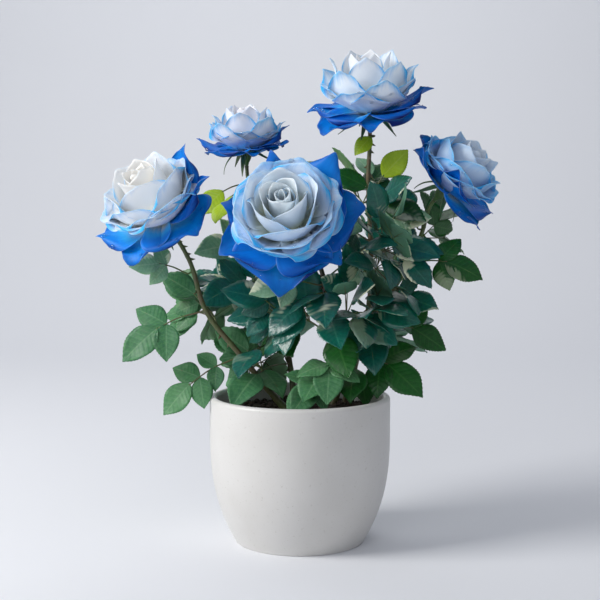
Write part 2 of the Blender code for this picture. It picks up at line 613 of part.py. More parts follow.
def make_bloom(key, collection):
    """One bloom: hip, sepals, bud core and the petals that show, fused into one body."""
    spec = BLOOMS[key]
    name = "bloom_" + key
    radius = spec["radius"]
    frame = bloom_frame(spec["axis"])
    seat = np.array(spec["seat"])
    hip_top = HIP_PROFILE[-1][1]
    centre = seat + frame[:, 2] * (GAP + hip_top - CLAW_HEIGHT * radius)
    draw = random.Random(spec["seed"])

    def place(points):
        return centre + (points * radius) @ frame.T

    def seat_place(point):
        return seat + frame[:, 2] * GAP + point @ frame.T

    core = core_profile()
    pieces = [lathe(name, core, CORE_STEPS, place, collection)]
    hip = [(0.0, 0.0)] + list(HIP_PROFILE) + [(0.0, hip_top + HIP_SUNK)]
    pieces.append(lathe(name, hip, HIP_STEPS, seat_place, collection))
    for index in range(SPIRAL_PETALS):
        petal = spiral_petal(index, spec["turn"], draw)
        if index in SOLID_PETALS:
            pieces.append(petal_solid(name, petal, PETAL_ROWS, core[:-1], place, collection))
    for guard in spec["guards"]:
        petal = guard_petal(guard, draw)
        pieces.append(petal_solid(name, petal, GUARD_ROWS, core[:-1], place, collection))
    for index in range(SEPALS):
        clock = math.radians(360.0 / SEPALS * index + spec["turn"])
        lean = math.radians(SEPAL_LEAN + draw.uniform(-12, 12))
        flat = np.array((math.cos(clock), math.sin(clock), 0.0))
        direction = Vector(frame @ (flat * math.sin(lean) + np.array((0, 0, math.cos(lean)))))
        normal = Vector(frame @ (flat * -math.cos(lean) + np.array((0, 0, math.sin(lean)))))
        root = Vector(seat_place(flat * 0.003 + np.array((0, 0, hip_top - 0.002))))
        sepal = blade(root, direction, normal, SEPAL_LENGTH, SEPAL_WIDTH, SEPAL_THICKNESS, 0.05, 0.0)
        pieces.append(object_from_bmesh(name, sepal, collection))
    return fuse(name, pieces, collection)


def make_cane(key, collection):
    """One cane from a flat cut on the soil to a flat tip under its bloom."""
    points = cane_points(key)
    radii = tapered(CANE_FOOT_RADIUS, CANE_TIP_RADIUS, len(points))
    return limb("cane_" + key, points, radii, CANE_SIDES, Vector((0.0, -1.0, 0.0)), collection,
                ends=((0.0, 0.0, 1.0), BLOOMS[key]["axis"]))


# ---------------------------------------------------------------- leaves and shoots

def from_angles(azimuth, rise):
    """Unit direction from an azimuth and a rise in degrees."""
    azimuth, rise = math.radians(azimuth), math.radians(rise)
    level = math.cos(rise)
    return Vector((math.cos(azimuth) * level, math.sin(azimuth) * level, math.sin(rise)))


def arch(root, direction, reach, parts):
    """Points of a stalk that rises over the straight line to its tip."""
    tip = root + direction * reach
    middle = (root + tip) / 2.0 + Vector((0.0, 0.0, 2.0 * STALK_ARCH * reach))
    shares = [index / parts for index in range(parts + 1)]
    return [root * (1 - s) ** 2 + middle * 2 * s * (1 - s) + tip * s * s for s in shares]


def point_on(points, share):
    """Point and direction at a share of a path's length."""
    spot = share * (len(points) - 1)
    index = min(int(spot), len(points) - 2)
    step = points[index + 1] - points[index]
    return points[index] + step * (spot - index), step.normalized()


def leaf_layout(root, direction, reach, pairs, leaflet, face, parts):
    """A compound leaf: its stalk's points, and root, direction, normal and length of each leaflet."""
    path = arch(root, direction, reach, ARCH_PARTS)
    end_share = 1.0 - leaflet / reach
    stalk = [point_on(path, end_share * index / parts)[0] for index in range(parts + 1)]
    normal, _ = square_frame((path[-1] - stalk[-1]).normalized(), face)
    heading = (path[-1] - stalk[-1]).normalized()
    leaflets = [(stalk[-1] - heading * END_LEAF_SUNK, heading, normal, leaflet + END_LEAF_SUNK)]
    for share, size in zip(LATERAL_SHARES[:pairs], LATERAL_SIZES):
        spot, along = point_on(stalk, share)
        normal, _ = square_frame(along, face)
        for side in (-1.0, 1.0):
            heading = Matrix.Rotation(math.radians(side * LATERAL_ANGLE), 3, normal) @ along
            leaflets.append((spot - heading * SIDE_LEAF_SUNK, heading, normal, leaflet * size))
    return stalk, leaflets


def leaf_blade(leaflet, swell=0.0):
    """One leaflet's blade; swell grows it on every side for a clearance test."""
    root, direction, normal, length = leaflet
    grown = 2.0 * swell
    return blade(root - direction * swell, direction, normal, length + grown, length * LEAF_WIDTH + grown,
                 LEAF_THICKNESS + grown, LEAF_DROOP, LEAF_FOLD)


def touches(bm, obstacles):
    """Whether a bmesh meets any of the obstacle trees; the bmesh is freed."""
    tree = BVHTree.FromBMesh(bm)
    bm.free()
    return any(tree.overlap(obstacle) for obstacle in obstacles)


def tree_of(item):
    """Search tree of an object's finished surface."""
    return BVHTree.FromObject(item, bpy.context.evaluated_depsgraph_get())


def swollen_twig(points, radius):
    """A thicker copy of a twig, for a clearance test."""
    frames = [square_frame(direction, UPWARDS) for direction in path_directions(points)]

    def place(across, along):
        row = round(along * (len(points) - 1))
        angle = 2.0 * math.pi * across
        first, second = frames[row]
        outward = first * math.cos(angle) + second * math.sin(angle)
        return points[row] + outward * (radius + LEAF_CLEARANCE)

    return shaped_grid(TWIG_SIDES + 1, len(points) - 1, place)


def twig(name, points, collection, ends=(None, None)):
    """One three-sided twig."""
    radii = tapered(TWIG_RADIUS, TWIG_TIP_RADIUS, len(points))
    return limb(name, points, radii, TWIG_SIDES, UPWARDS, collection, ends)


def add_leaf(name, layout, obstacles, collection, twig_ends=(None, None), skip=0):
    """Pieces of one compound leaf, or none where its stalk or end leaflet would touch something."""
    stalk, leaflets = layout
    if touches(swollen_twig(stalk[skip:], TWIG_RADIUS), obstacles):
        return [], []
    kept = [leaflet for leaflet in leaflets if not touches(leaf_blade(leaflet, LEAF_CLEARANCE), obstacles)]
    if leaflets[0] not in kept:
        return [], []
    pieces = [twig(name, stalk, collection, twig_ends)]
    pieces += [object_from_bmesh(name, leaf_blade(leaflet), collection) for leaflet in kept]
    return pieces, [BVHTree.FromBMesh(leaf_blade(leaflet)) for leaflet in kept]


def cane_spot(key, height):
    """Point, direction and radius of a cane at a height."""
    points = cane_points(key)
    for index, (low, high) in enumerate(zip(points, points[1:])):
        if low.z <= height <= high.z:
            share = (height - low.z) / (high.z - low.z)
            spot = low.lerp(high, share)
            whole = (index + share) / (len(points) - 1)
            radius = CANE_FOOT_RADIUS + (CANE_TIP_RADIUS - CANE_FOOT_RADIUS) * whole
            return spot, (high - low).normalized(), radius
    raise ValueError(key)


def leave_cane(key, height, direction):
    """Start of a shoot on its cane's side, the gap clear of it, and the way square to the cane there."""
    spot, along, radius = cane_spot(key, height)
    outward, _ = square_frame(along, direction)
    return spot + outward * (radius + GAP), outward


def outward_face(point):
    """The way leaves face where nothing sets it: away from the bush's middle and up."""
    away = Vector((point.x - BUSH_MIDDLE[0], point.y - BUSH_MIDDLE[1], 0.0)).normalized()
    return away * 0.75 + Vector((0.0, 0.0, 0.65))


def make_single_leaf(row, obstacles, collection):
    """A leaf that grows straight from its cane."""
    name, cane, height, azimuth, rise, reach, pairs, leaflet, face = row
    direction = from_angles(azimuth, rise)
    start, outward = leave_cane(cane, height, direction)
    stalk, leaflets = leaf_layout(start + outward * COLLAR, direction, reach - COLLAR, pairs, leaflet,
                                  Vector(face), LONG_STALK_PARTS)
    layout = ([start] + stalk, leaflets)
    pieces, _ = add_leaf("leaf_" + name, layout, obstacles, collection, twig_ends=(outward, None), skip=1)
    return pieces


def make_branching_shoot(row, obstacles, collection):
    """A side shoot whose leaves are spread round its stem, each kept only where it touches nothing."""
    name, cane, height, azimuth, rise, length, leaves, pairs, leaflet = row
    direction = from_angles(azimuth, rise)
    start, outward = leave_cane(cane, height, direction)
    stem = [start] + arch(start + outward * COLLAR, direction, length, STEM_PARTS)
    if touches(swollen_twig(stem[1:], TWIG_RADIUS), obstacles):
        print("no room for the stem of", name)
        return []
    pieces = [twig("shoot_" + name, stem, collection, (outward, None))]
    blades = []
    clock = random.Random(name).uniform(0.0, 360.0)
    for index in range(leaves):
        share = 1.0 - LEAFY_SHARE * index / (leaves - 1)
        spot, along = point_on(stem[1:], share)
        for attempt in range(LEAF_TRIES):
            draw = random.Random(f"{name} {index} {attempt}")
            turn = math.radians(clock + SPIRAL_TURN * index + TRY_TURN * attempt)
            side, other = square_frame(along, UPWARDS)
            spread = math.radians(LEAF_SPREAD * draw.uniform(0.7, 1.2))
            if index == 0:
                spread *= END_LEAF_SPREAD
            sideways = side * math.cos(turn) + other * math.sin(turn)
            heading = along * math.cos(spread) + sideways * math.sin(spread)
            heading = (heading + outward_face(spot) * LIGHT_PULL).normalized()
            reach = LEAF_REACH * draw.uniform(0.85, 1.1)
            size = leaflet * draw.uniform(0.85, 1.1)
            layout = leaf_layout(spot, heading, reach, pairs, size, outward_face(spot), SHORT_STALK_PARTS)
            grown, trees = add_leaf("shoot_" + name, layout, obstacles + blades, collection)
            if grown:
                pieces += grown
                blades += trees
                break
    return pieces


def cane_points(key):
    """The path of a cane."""
    cane = CANES[key]
    foot = (*cane["foot"], SOIL_TOP + GAP)
    knots = (foot,) + cane["knots"] + (BLOOMS[key]["seat"],)
    return smooth_path(knots, cane["lean"], BLOOMS[key]["axis"], CANE_STEPS_PER_KNOT)


def build():
    """Make the whole bush."""
    clear_scene()
    bush = new_collection("rose_bush")
    pot = make_pot(bush)
    pot.data.materials.append(make_material("pot_ceramic", (0.80, 0.79, 0.76), 0.5))
    soil = make_soil(bush)
    soil.data.materials.append(make_material("potting_mix", (0.035, 0.022, 0.015), 0.95))
    done = [pot, soil]
    for key in CANES:
        cane = make_cane(key, bush)
        cane.data.materials.append(make_material("bark_" + key, (0.09, 0.13, 0.05), 0.6))
        done.append(cane)
    for key in BLOOMS:
        bloom = make_bloom(key, bush)
        bloom.data.materials.append(make_material("petals_" + key, (0.35, 0.55, 0.92), 0.5))
        done.append(bloom)
    obstacles = [tree_of(item) for item in done]
    for row in SINGLE_LEAVES + BRANCHING_SHOOTS:
        if row in SINGLE_LEAVES:
            pieces = make_single_leaf(row, obstacles, bush)
            name = "leaf_" + row[0]
        else:
            pieces = make_branching_shoot(row, obstacles, bush)
            name = "shoot_" + row[0]
        if not pieces:
            print("left out:", name)
            continue
        shoot = fuse(name, pieces, bush)
        shoot.data.materials.append(make_material("leaf_green_" + name, (0.03, 0.16, 0.07), 0.4))
        obstacles.append(tree_of(shoot))
        print(name, len(pieces), "pieces,", len(shoot.data.polygons), "faces")


build()
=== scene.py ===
# %% [markdown]
# # A rose bush in a ceramic pot
# Five canes rise from a round pot, each ends in one large bloom dyed blue at its edges, and leafy side
# shoots fill the space between them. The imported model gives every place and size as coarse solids. This
# lesson dresses it: each solid is replaced by a finer piece that grows by the same rule.

# %% Load the fixed frame
import math
import random

import bmesh
import bpy
import numpy as np
from mathutils import Matrix, Vector, noise
from mathutils.bvhtree import BVHTree
from mathutils.geometry import interpolate_bezier


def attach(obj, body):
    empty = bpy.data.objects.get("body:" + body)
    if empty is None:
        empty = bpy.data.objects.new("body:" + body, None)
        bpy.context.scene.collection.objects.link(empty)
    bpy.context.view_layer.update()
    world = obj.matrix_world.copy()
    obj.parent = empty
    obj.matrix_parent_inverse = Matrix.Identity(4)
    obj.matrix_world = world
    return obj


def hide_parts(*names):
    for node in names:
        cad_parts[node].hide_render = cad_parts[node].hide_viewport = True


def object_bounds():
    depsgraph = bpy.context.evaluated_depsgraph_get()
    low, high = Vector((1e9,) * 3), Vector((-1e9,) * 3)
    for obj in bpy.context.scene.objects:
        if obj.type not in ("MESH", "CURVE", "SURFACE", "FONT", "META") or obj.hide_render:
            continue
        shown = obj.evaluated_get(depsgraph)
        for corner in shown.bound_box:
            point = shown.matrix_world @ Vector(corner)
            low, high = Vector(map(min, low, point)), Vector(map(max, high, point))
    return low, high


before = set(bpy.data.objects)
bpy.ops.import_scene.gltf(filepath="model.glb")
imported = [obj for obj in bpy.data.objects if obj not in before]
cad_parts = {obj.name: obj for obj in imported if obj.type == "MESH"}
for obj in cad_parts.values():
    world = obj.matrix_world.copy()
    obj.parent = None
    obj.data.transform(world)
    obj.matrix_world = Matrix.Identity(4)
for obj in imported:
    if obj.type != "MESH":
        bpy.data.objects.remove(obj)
cad_low, cad_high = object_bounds()
UP = Vector((0.0, 0.0, 1.0))
print("frame:", len(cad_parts), "solids,", [round(side, 3) for side in cad_high - cad_low], "m")

# %% [markdown]
# ## Camera, backdrop and light
# A product picture is taken against a paper sweep: a floor that curves up into a wall with no corner. One
# grid is enough, as its rows can follow the curve. A long lens from about a metre keeps the pot's rim a
# shallow ellipse. A large lamp at the upper left models the petals, a weaker and larger one stands in front,
# one lights the wall alone, and a pale sky fills the shadows.

# %% Camera
CAMERA_TARGET = Vector((0.0, 0.0, 0.2144))
CAMERA_DISTANCE = 1.1
CAMERA_PITCH = math.radians(4.7)
CAMERA_LENS = 74.76

lens = bpy.data.cameras.new("camera")
lens.lens = CAMERA_LENS
camera = bpy.data.objects.new("camera", lens)
bpy.context.scene.collection.objects.link(camera)
backwards = Vector((0.0, -math.cos(CAMERA_PITCH), math.sin(CAMERA_PITCH)))
camera.location = CAMERA_TARGET + backwards * CAMERA_DISTANCE
camera.rotation_euler = (math.pi / 2.0 - CAMERA_PITCH, 0.0, 0.0)
bpy.context.scene.camera = camera
bpy.context.scene.view_settings.view_transform = "Standard"
print("camera at", [round(value, 3) for value in camera.location])

# %% [markdown]
# Materials here are small networks of shader nodes. Each kind of node gets a short helper, so a finish
# reads like its recipe: a noise, a smooth step, a mix of two colours. What several materials share is a
# node group, which gives a colour and a height, and the height is felt as a shallow bump.

# %% Helpers for shader nodes
def add_node(tree, kind, settings=None, **sockets):
    """A shader node with its own settings, and values or links for its sockets by name."""
    made = tree.nodes.new("ShaderNode" + kind)
    for name, value in (settings or {}).items():
        setattr(made, name, value)
    for name, value in sockets.items():
        feed(tree, made.inputs[name.replace("_", " ")], value)
    return made


def feed(tree, socket, value):
    """Link a socket or set its value."""
    if isinstance(value, bpy.types.NodeSocket):
        tree.links.new(value, socket)
    else:
        socket.default_value = value


def maths(tree, operation, first, second=0.0):
    """The result of one Math node."""
    made = add_node(tree, "Math", {"operation": operation})
    feed(tree, made.inputs[0], first)
    feed(tree, made.inputs[1], second)
    return made.outputs[0]


def mixed(tree, factor, first, second, blend="MIX"):
    """The colour of one Mix node; first and second are colours or sockets."""
    made = add_node(tree, "Mix", {"data_type": "RGBA", "blend_type": blend})
    feed(tree, made.inputs[0], factor)
    for index, colour in ((6, first), (7, second)):
        is_socket = isinstance(colour, bpy.types.NodeSocket)
        feed(tree, made.inputs[index], colour if is_socket else (*colour, 1.0))
    return made.outputs[2]


def eased(tree, value, low, high, start=0.0, end=1.0):
    """A value that runs smoothly from start to end while the input goes from low to high."""
    made = add_node(tree, "MapRange", {"interpolation_type": "SMOOTHSTEP"})
    for index, number in enumerate((value, low, high, start, end)):
        feed(tree, made.inputs[index], number)
    return made.outputs[0]


def grainy(tree, vector, scale, detail=3.0, roughness=0.5):
    """The grey value of a noise texture."""
    made = add_node(tree, "TexNoise", None, Vector=vector, Scale=scale, Detail=detail, Roughness=roughness)
    return made.outputs[0]


def new_material(name, **sockets):
    """A material with a Principled shader whose plain values are set on its own sockets."""
    material = bpy.data.materials.new(name)
    material.use_nodes = True
    tree = material.node_tree
    shader = tree.nodes["Principled BSDF"]
    for key, value in sockets.items():
        shader.inputs[key.replace("_", " ")].default_value = value
    return material, tree, shader


def new_group(name, inputs, outputs):
    """A shader node group with named sockets, told as (name, socket type)."""
    tree = bpy.data.node_groups.new(name, "ShaderNodeTree")
    for in_out, rows in (("INPUT", inputs), ("OUTPUT", outputs)):
        for socket_name, kind in rows:
            tree.interface.new_socket(name=socket_name, in_out=in_out, socket_type="NodeSocket" + kind)
    entry = tree.nodes.new("NodeGroupInput")
    leave = tree.nodes.new("NodeGroupOutput")
    return tree, entry.outputs, leave.inputs


def use_group(tree, group, **sockets):
    """Place a node group in a material."""
    made = tree.nodes.new("ShaderNodeGroup")
    made.node_tree = group
    for key, value in sockets.items():
        feed(tree, made.inputs[key.replace("_", " ")], value)
    return made.outputs


def coloured(tree, shader, outputs):
    """Give a shader the colour that a group puts out."""
    tree.links.new(outputs["Colour"], shader.inputs["Base Color"])


def coloured_and_bumped(tree, shader, outputs, strength, depth):
    """Give a shader a group's colour, and its height as a bump of a depth in metres."""
    coloured(tree, shader, outputs)
    bump = add_node(tree, "Bump", None, Strength=strength, Distance=depth, Height=outputs["Height"])
    tree.links.new(bump.outputs[0], shader.inputs["Normal"])


def object_coordinates(tree):
    """Places in metres on the object."""
    return tree.nodes.new("ShaderNodeTexCoord").outputs["Object"]


print("helpers for nodes, maths, mixes, smooth steps, noises, groups and bumps")

# %% [markdown]
# The sweep is a roll of paper that runs down a wall and forward over a table. It belongs to the studio and
# not to the model. Area lamps give the soft edges that a softbox gives.

# %% Backdrop and lamps
SWEEP_WIDTH = 6.0
SWEEP_FRONT = -2.6
SWEEP_FLOOR = 3.9                # from its front edge to where it starts to rise
SWEEP_CURVE = 1.1
SWEEP_RISE = 3.0
SWEEP_COLUMNS = 8
SWEEP_ROWS = 60
BACKDROP_TONE = (0.815, 0.830, 0.865)
PAPER_SHADE = 0.99               # the darker patches of its grain
PAPER_GRAIN_SCALE = 3.0


def sweep_place(across, along):
    """A point of the paper sweep: floor, quarter curve, wall."""
    bend = SWEEP_CURVE * math.pi / 2.0
    reach = along * (SWEEP_FLOOR + bend + SWEEP_RISE)
    x = (across - 0.5) * SWEEP_WIDTH
    if reach <= SWEEP_FLOOR:
        return Vector((x, SWEEP_FRONT + reach, 0.0))
    angle = min((reach - SWEEP_FLOOR) / SWEEP_CURVE, math.pi / 2.0)
    y = SWEEP_FRONT + SWEEP_FLOOR + SWEEP_CURVE * math.sin(angle)
    rise = max(reach - SWEEP_FLOOR - bend, 0.0)
    return Vector((x, y, SWEEP_CURVE * (1.0 - math.cos(angle)) + rise))


def placed_grid(bm, columns, rows, place):
    """Add a grid to a bmesh with its vertices where place(across, along) says; both run from 0 to 1."""
    grid = bmesh.ops.create_grid(bm, x_segments=columns, y_segments=rows, size=1.0, calc_uvs=True)
    for vertex in grid["verts"]:
        vertex.co = place((vertex.co.x + 1.0) / 2.0, (vertex.co.y + 1.0) / 2.0)
    return grid["verts"]


sweep_bm = bmesh.new()
placed_grid(sweep_bm, SWEEP_COLUMNS, SWEEP_ROWS, sweep_place)
sweep_mesh = bpy.data.meshes.new("paper_sweep")
sweep_bm.to_mesh(sweep_mesh)
sweep_bm.free()
sweep_mesh.shade_smooth()
sweep = bpy.data.objects.new("paper_sweep", sweep_mesh)
bpy.context.scene.collection.objects.link(sweep)
paper, paper_tree, paper_shader = new_material("backdrop_paper", Roughness=0.9)
paper_grain = grainy(paper_tree, object_coordinates(paper_tree), PAPER_GRAIN_SCALE)
paper_tone = mixed(paper_tree, paper_grain, BACKDROP_TONE, [tone * PAPER_SHADE for tone in BACKDROP_TONE])
paper_tree.links.new(paper_tone, paper_shader.inputs["Base Color"])
sweep_mesh.materials.append(paper)


def add_area_lamp(name, place, target, size, power, colour):
    """A square lamp that looks at a target."""
    lamp = bpy.data.lights.new(name, "AREA")
    lamp.size = size
    lamp.energy = power
    lamp.color = colour
    item = bpy.data.objects.new(name, lamp)
    bpy.context.scene.collection.objects.link(item)
    item.location = place
    item.rotation_euler = (Vector(target) - Vector(place)).to_track_quat("-Z", "Y").to_euler()


LAMPS = {                        # place, target, side in metres, power in watts, colour
    "key_lamp": ((-1.5, -0.5, 1.1), (0.0, 0.0, 0.22), 0.80, 28.8, (1.0, 0.985, 0.96)),
    "soft_front": ((-0.7, -2.2, 1.3), (0.0, 0.0, 0.25), 1.4, 9.3, (0.95, 0.97, 1.0)),
    "wall_light": ((0.0, 1.1, 2.2), (0.0, 2.4, 0.6), 1.2, 12.0, (1.0, 1.0, 1.0)),
}
SKY_COLOUR = (0.88, 0.91, 1.0, 1.0)
SKY_STRENGTH = 0.34

for name, settings in LAMPS.items():
    add_area_lamp(name, *settings)
sky = bpy.data.worlds.new("sky")
sky.use_nodes = True
sky_background = sky.node_tree.nodes["Background"]
sky_background.inputs["Color"].default_value = SKY_COLOUR
sky_background.inputs["Strength"].default_value = SKY_STRENGTH
bpy.context.scene.world = sky
print("sweep and lamps in place:", list(LAMPS))

# %% [markdown]
# ## Finishing a piece
# Every piece ends the same way. Its mesh is stored, shaded smooth, given its materials and tied to the one
# body of the model, and the solids it stands for are hidden. Petals, sepals and leaflets are sheets, so a
# Solidify modifier gives them their thickness. Round bodies are spun from a profile.

# %% Finishing a piece
def finished(name, bm, materials, nodes=()):
    """Turn a bmesh into a piece that rides on the body and stands for some solids."""
    mesh = bpy.data.meshes.new(name)
    bm.to_mesh(mesh)
    bm.free()
    mesh.shade_smooth()
    for material in materials:
        mesh.materials.append(material)
    piece = bpy.data.objects.new(name, mesh)
    bpy.context.scene.collection.objects.link(piece)
    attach(piece, "root")
    if nodes:
        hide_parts(*nodes)
    print(f"{name}: {len(mesh.polygons)} faces, stands for {len(nodes)} solids")
    return piece


def thicken(piece, thickness, underside=0):
    """Give a sheet its thickness, half to either side; underside is the slot of its other face."""
    solidify = piece.modifiers.new("thickness", "SOLIDIFY")
    solidify.thickness = thickness
    solidify.offset = 0.0
    solidify.material_offset = underside


def turned_body(profile, steps):
    """A closed body spun from a profile of (radius, height) whose ends are on the axis."""
    bm = bmesh.new()
    verts = [bm.verts.new((radius, 0.0, height)) for radius, height in profile]
    edges = [bm.edges.new(pair) for pair in zip(verts, verts[1:])]
    bmesh.ops.spin(bm, geom=verts + edges, cent=(0, 0, 0), axis=(0, 0, 1), angle=2.0 * math.pi,
                   steps=steps, use_merge=True)
    bmesh.ops.remove_doubles(bm, verts=bm.verts, dist=0.00002)
    bmesh.ops.recalc_face_normals(bm, faces=bm.faces)
    return bm


print("helpers to finish a piece, thicken a sheet and spin a profile")

# %% [markdown]
# ## Pot
# The pot is thrown or cast stoneware with a matt off-white glaze: narrow at the foot, full at the belly,
# upright above it, with a rounded lip. Its glaze has faint specks and a soft unevenness. A group of two
# noises gives both, and the potting mix uses the same group with its own colours and scales.

# %% Shader group: speckled unevenness
speckle, speckle_in, speckle_out = new_group(
    "speckled_unevenness",
    (("Vector", "Vector"), ("Ground", "Color"), ("Speck", "Color"), ("Cloud Scale", "Float"),
     ("Speck Scale", "Float"), ("Speck Amount", "Float")),
    (("Colour", "Color"), ("Height", "Float")))
cloud = grainy(speckle, speckle_in["Vector"], speckle_in["Cloud Scale"])
cloudy = mixed(speckle, eased(speckle, cloud, 0.35, 0.70, 0.0, 0.5), (1.0, 1.0, 1.0), (0.90, 0.89, 0.87))
ground = mixed(speckle, 1.0, speckle_in["Ground"], cloudy, "MULTIPLY")
fine = grainy(speckle, speckle_in["Vector"], speckle_in["Speck Scale"], 4.0, 0.65)
speck_mask = maths(speckle, "MULTIPLY", eased(speckle, fine, 0.60, 0.72), speckle_in["Speck Amount"])
specked = mixed(speckle, speck_mask, ground, speckle_in["Speck"])
speckle.links.new(specked, speckle_out["Colour"])
speckle.links.new(fine, speckle_out["Height"])
print("group", speckle.name)

# %% [markdown]
# The pot's shape has one axis, so a spin of its profile is the natural way. The profile starts on the axis,
# climbs the inside, turns over the lip, comes down the outside and closes under the foot.

# %% Pot
POT_HEIGHT = 0.130
POT_RADIUS = 0.080
POT_BASE_RADIUS = 0.057
POT_WALL = 0.0065
POT_FLOOR = 0.010
POT_FOOT_BEVEL = 0.0012
POT_FOOT_RING = 0.005            # height of the last ring above the foot's bevel
BEVEL_STEPS = 3
BELLY_HEIGHT = 0.100             # above this the wall stands upright
BELLY_POWER = 2.65               # how quickly the wall swells out of the base
POT_STEPS = 160
WALL_LEVELS = 22
RIM_STEPS = 13


def pot_radius(height):
    """Outer radius of the pot at a height."""
    share = min(height / BELLY_HEIGHT, 1.0)
    return POT_BASE_RADIUS + (POT_RADIUS - POT_BASE_RADIUS) * (1.0 - (1.0 - share) ** BELLY_POWER)


levels = [POT_FLOOR + (BELLY_HEIGHT - POT_FLOOR) * index / WALL_LEVELS for index in range(WALL_LEVELS + 1)]
pot_profile = [(0.0, POT_FLOOR)] + [(pot_radius(height) - POT_WALL, height) for height in levels]
lip = POT_WALL / 2.0
for step in range(RIM_STEPS):
    angle = math.pi * (1.0 - step / (RIM_STEPS - 1))
    pot_profile.append((POT_RADIUS - lip + lip * math.cos(angle), POT_HEIGHT - lip + lip * math.sin(angle)))
pot_profile += [(pot_radius(height), height) for height in reversed(levels)]
pot_profile += [(pot_radius(height), height) for height in (POT_FOOT_RING, POT_FOOT_BEVEL)]
for step in range(1, BEVEL_STEPS + 1):
    angle = math.pi / 2.0 * step / BEVEL_STEPS
    pot_profile.append((pot_radius(POT_FOOT_BEVEL) - POT_FOOT_BEVEL * (1.0 - math.cos(angle)),
                        POT_FOOT_BEVEL * (1.0 - math.sin(angle))))
pot_profile.append((0.0, 0.0))
glaze, glaze_tree, glaze_shader = new_material("pot_glaze", Roughness=0.42)
glaze_shader.inputs["Coat Weight"].default_value = 0.12
glaze_shader.inputs["Coat Roughness"].default_value = 0.35
glaze_finish = use_group(glaze_tree, speckle, Vector=object_coordinates(glaze_tree),
                         Ground=(0.655, 0.645, 0.625, 1.0), Speck=(0.47, 0.45, 0.41, 1.0), Cloud_Scale=18.0,
                         Speck_Scale=420.0, Speck_Amount=0.55)
coloured_and_bumped(glaze_tree, glaze_shader, glaze_finish, 0.12, 0.0002)
finished("glazed_pot", turned_body(pot_profile, POT_STEPS), [glaze], ["pot"])

# %% [markdown]
# ## Potting mix
# The mix is dark, crumbly peat and bark. A turned body with many rings gives the bed, its top is raised
# by fractal noise and swells to a mound at the right, and a few hundred small lumps lie on it.

# %% Potting mix
SOIL_TOP = 0.114
GAP = 0.0003
SOIL_RINGS = 46
SOIL_STEPS = 120
LUMPS = 620
LUMP_SIZES = (0.0008, 0.0026)
LUMP_STRETCH = (0.7, 1.4)
LUMP_FLATNESS = (0.5, 0.9)
LUMP_KNOBS = 0.45
CRUMB_SCALE = 90.0
CRUMB_RISE = 0.0020
BED_RISE = 0.0018
MOUND_PLACE = Vector((0.045, -0.006))
MOUND_RISE = 0.008
MOUND_SPREAD = 0.0005            # square metres in the bell's exponent
EDGE_BAND = 0.004                # where the relief runs out towards the wall

soil_radius = POT_RADIUS - POT_WALL - GAP
soil_profile = [(soil_radius * index / SOIL_RINGS, SOIL_TOP) for index in range(SOIL_RINGS + 1)]
soil_profile += [(pot_radius(height) - POT_WALL - GAP, height) for height in reversed(levels[1::3])]
soil_profile += [(pot_radius(POT_FLOOR) - POT_WALL - GAP, POT_FLOOR + GAP), (0.0, POT_FLOOR + GAP)]


def soil_rise(x, y):
    """How far the bed rises over its level at a place."""
    crumbs = noise.fractal(Vector((x, y, 0.3)) * CRUMB_SCALE, 0.9, 2.1, 5)
    mound = MOUND_RISE * math.exp(-((x - MOUND_PLACE.x) ** 2 + (y - MOUND_PLACE.y) ** 2) / MOUND_SPREAD)
    edge = min((soil_radius - math.hypot(x, y)) / EDGE_BAND, 1.0)
    return max(0.0, mound + BED_RISE + CRUMB_RISE * crumbs) * edge


soil_bm = turned_body(soil_profile, SOIL_STEPS)
for vertex in soil_bm.verts:
    if vertex.co.z > SOIL_TOP - 0.0001:
        vertex.co.z += soil_rise(vertex.co.x, vertex.co.y)
soil_draw = random.Random(21)
for _ in range(LUMPS):
    reach = (soil_radius - EDGE_BAND) * math.sqrt(soil_draw.random())
    angle = soil_draw.uniform(0.0, 2.0 * math.pi)
    x, y = reach * math.cos(angle), reach * math.sin(angle)
    size = soil_draw.uniform(*LUMP_SIZES)
    lump = bmesh.ops.create_icosphere(soil_bm, subdivisions=2, radius=size)
    stretch = Vector([soil_draw.uniform(*ends) for ends in (LUMP_STRETCH, LUMP_STRETCH, LUMP_FLATNESS)])
    shift = Vector((x, y, SOIL_TOP + soil_rise(x, y) + size * 0.15))
    for vertex in lump["verts"]:
        knobs = 1.0 + LUMP_KNOBS * noise.noise(vertex.co * 600.0 + shift * 900.0)
        vertex.co = vertex.co * stretch * knobs + shift
soil_mix, soil_tree, soil_shader = new_material("potting_mix", Roughness=0.95)
soil_finish = use_group(soil_tree, speckle, Vector=object_coordinates(soil_tree),
                        Ground=(0.030, 0.019, 0.012, 1.0), Speck=(0.11, 0.075, 0.045, 1.0), Cloud_Scale=60.0,
                        Speck_Scale=260.0, Speck_Amount=0.7)
coloured_and_bumped(soil_tree, soil_shader, soil_finish, 0.6, 0.0006)
finished("potting_mix", soil_bm, [soil_mix], ["soil"])

# %% [markdown]
# ## Canes
# A rose cane is a smooth green to brown rod with slight swellings at its nodes and curved prickles. The
# solids follow a curve through a few knots, so the same curve is walked again with more steps. A grid
# rolled into a tube takes the relief well: ribs along it, a swelling at each node, a flare at its foot.

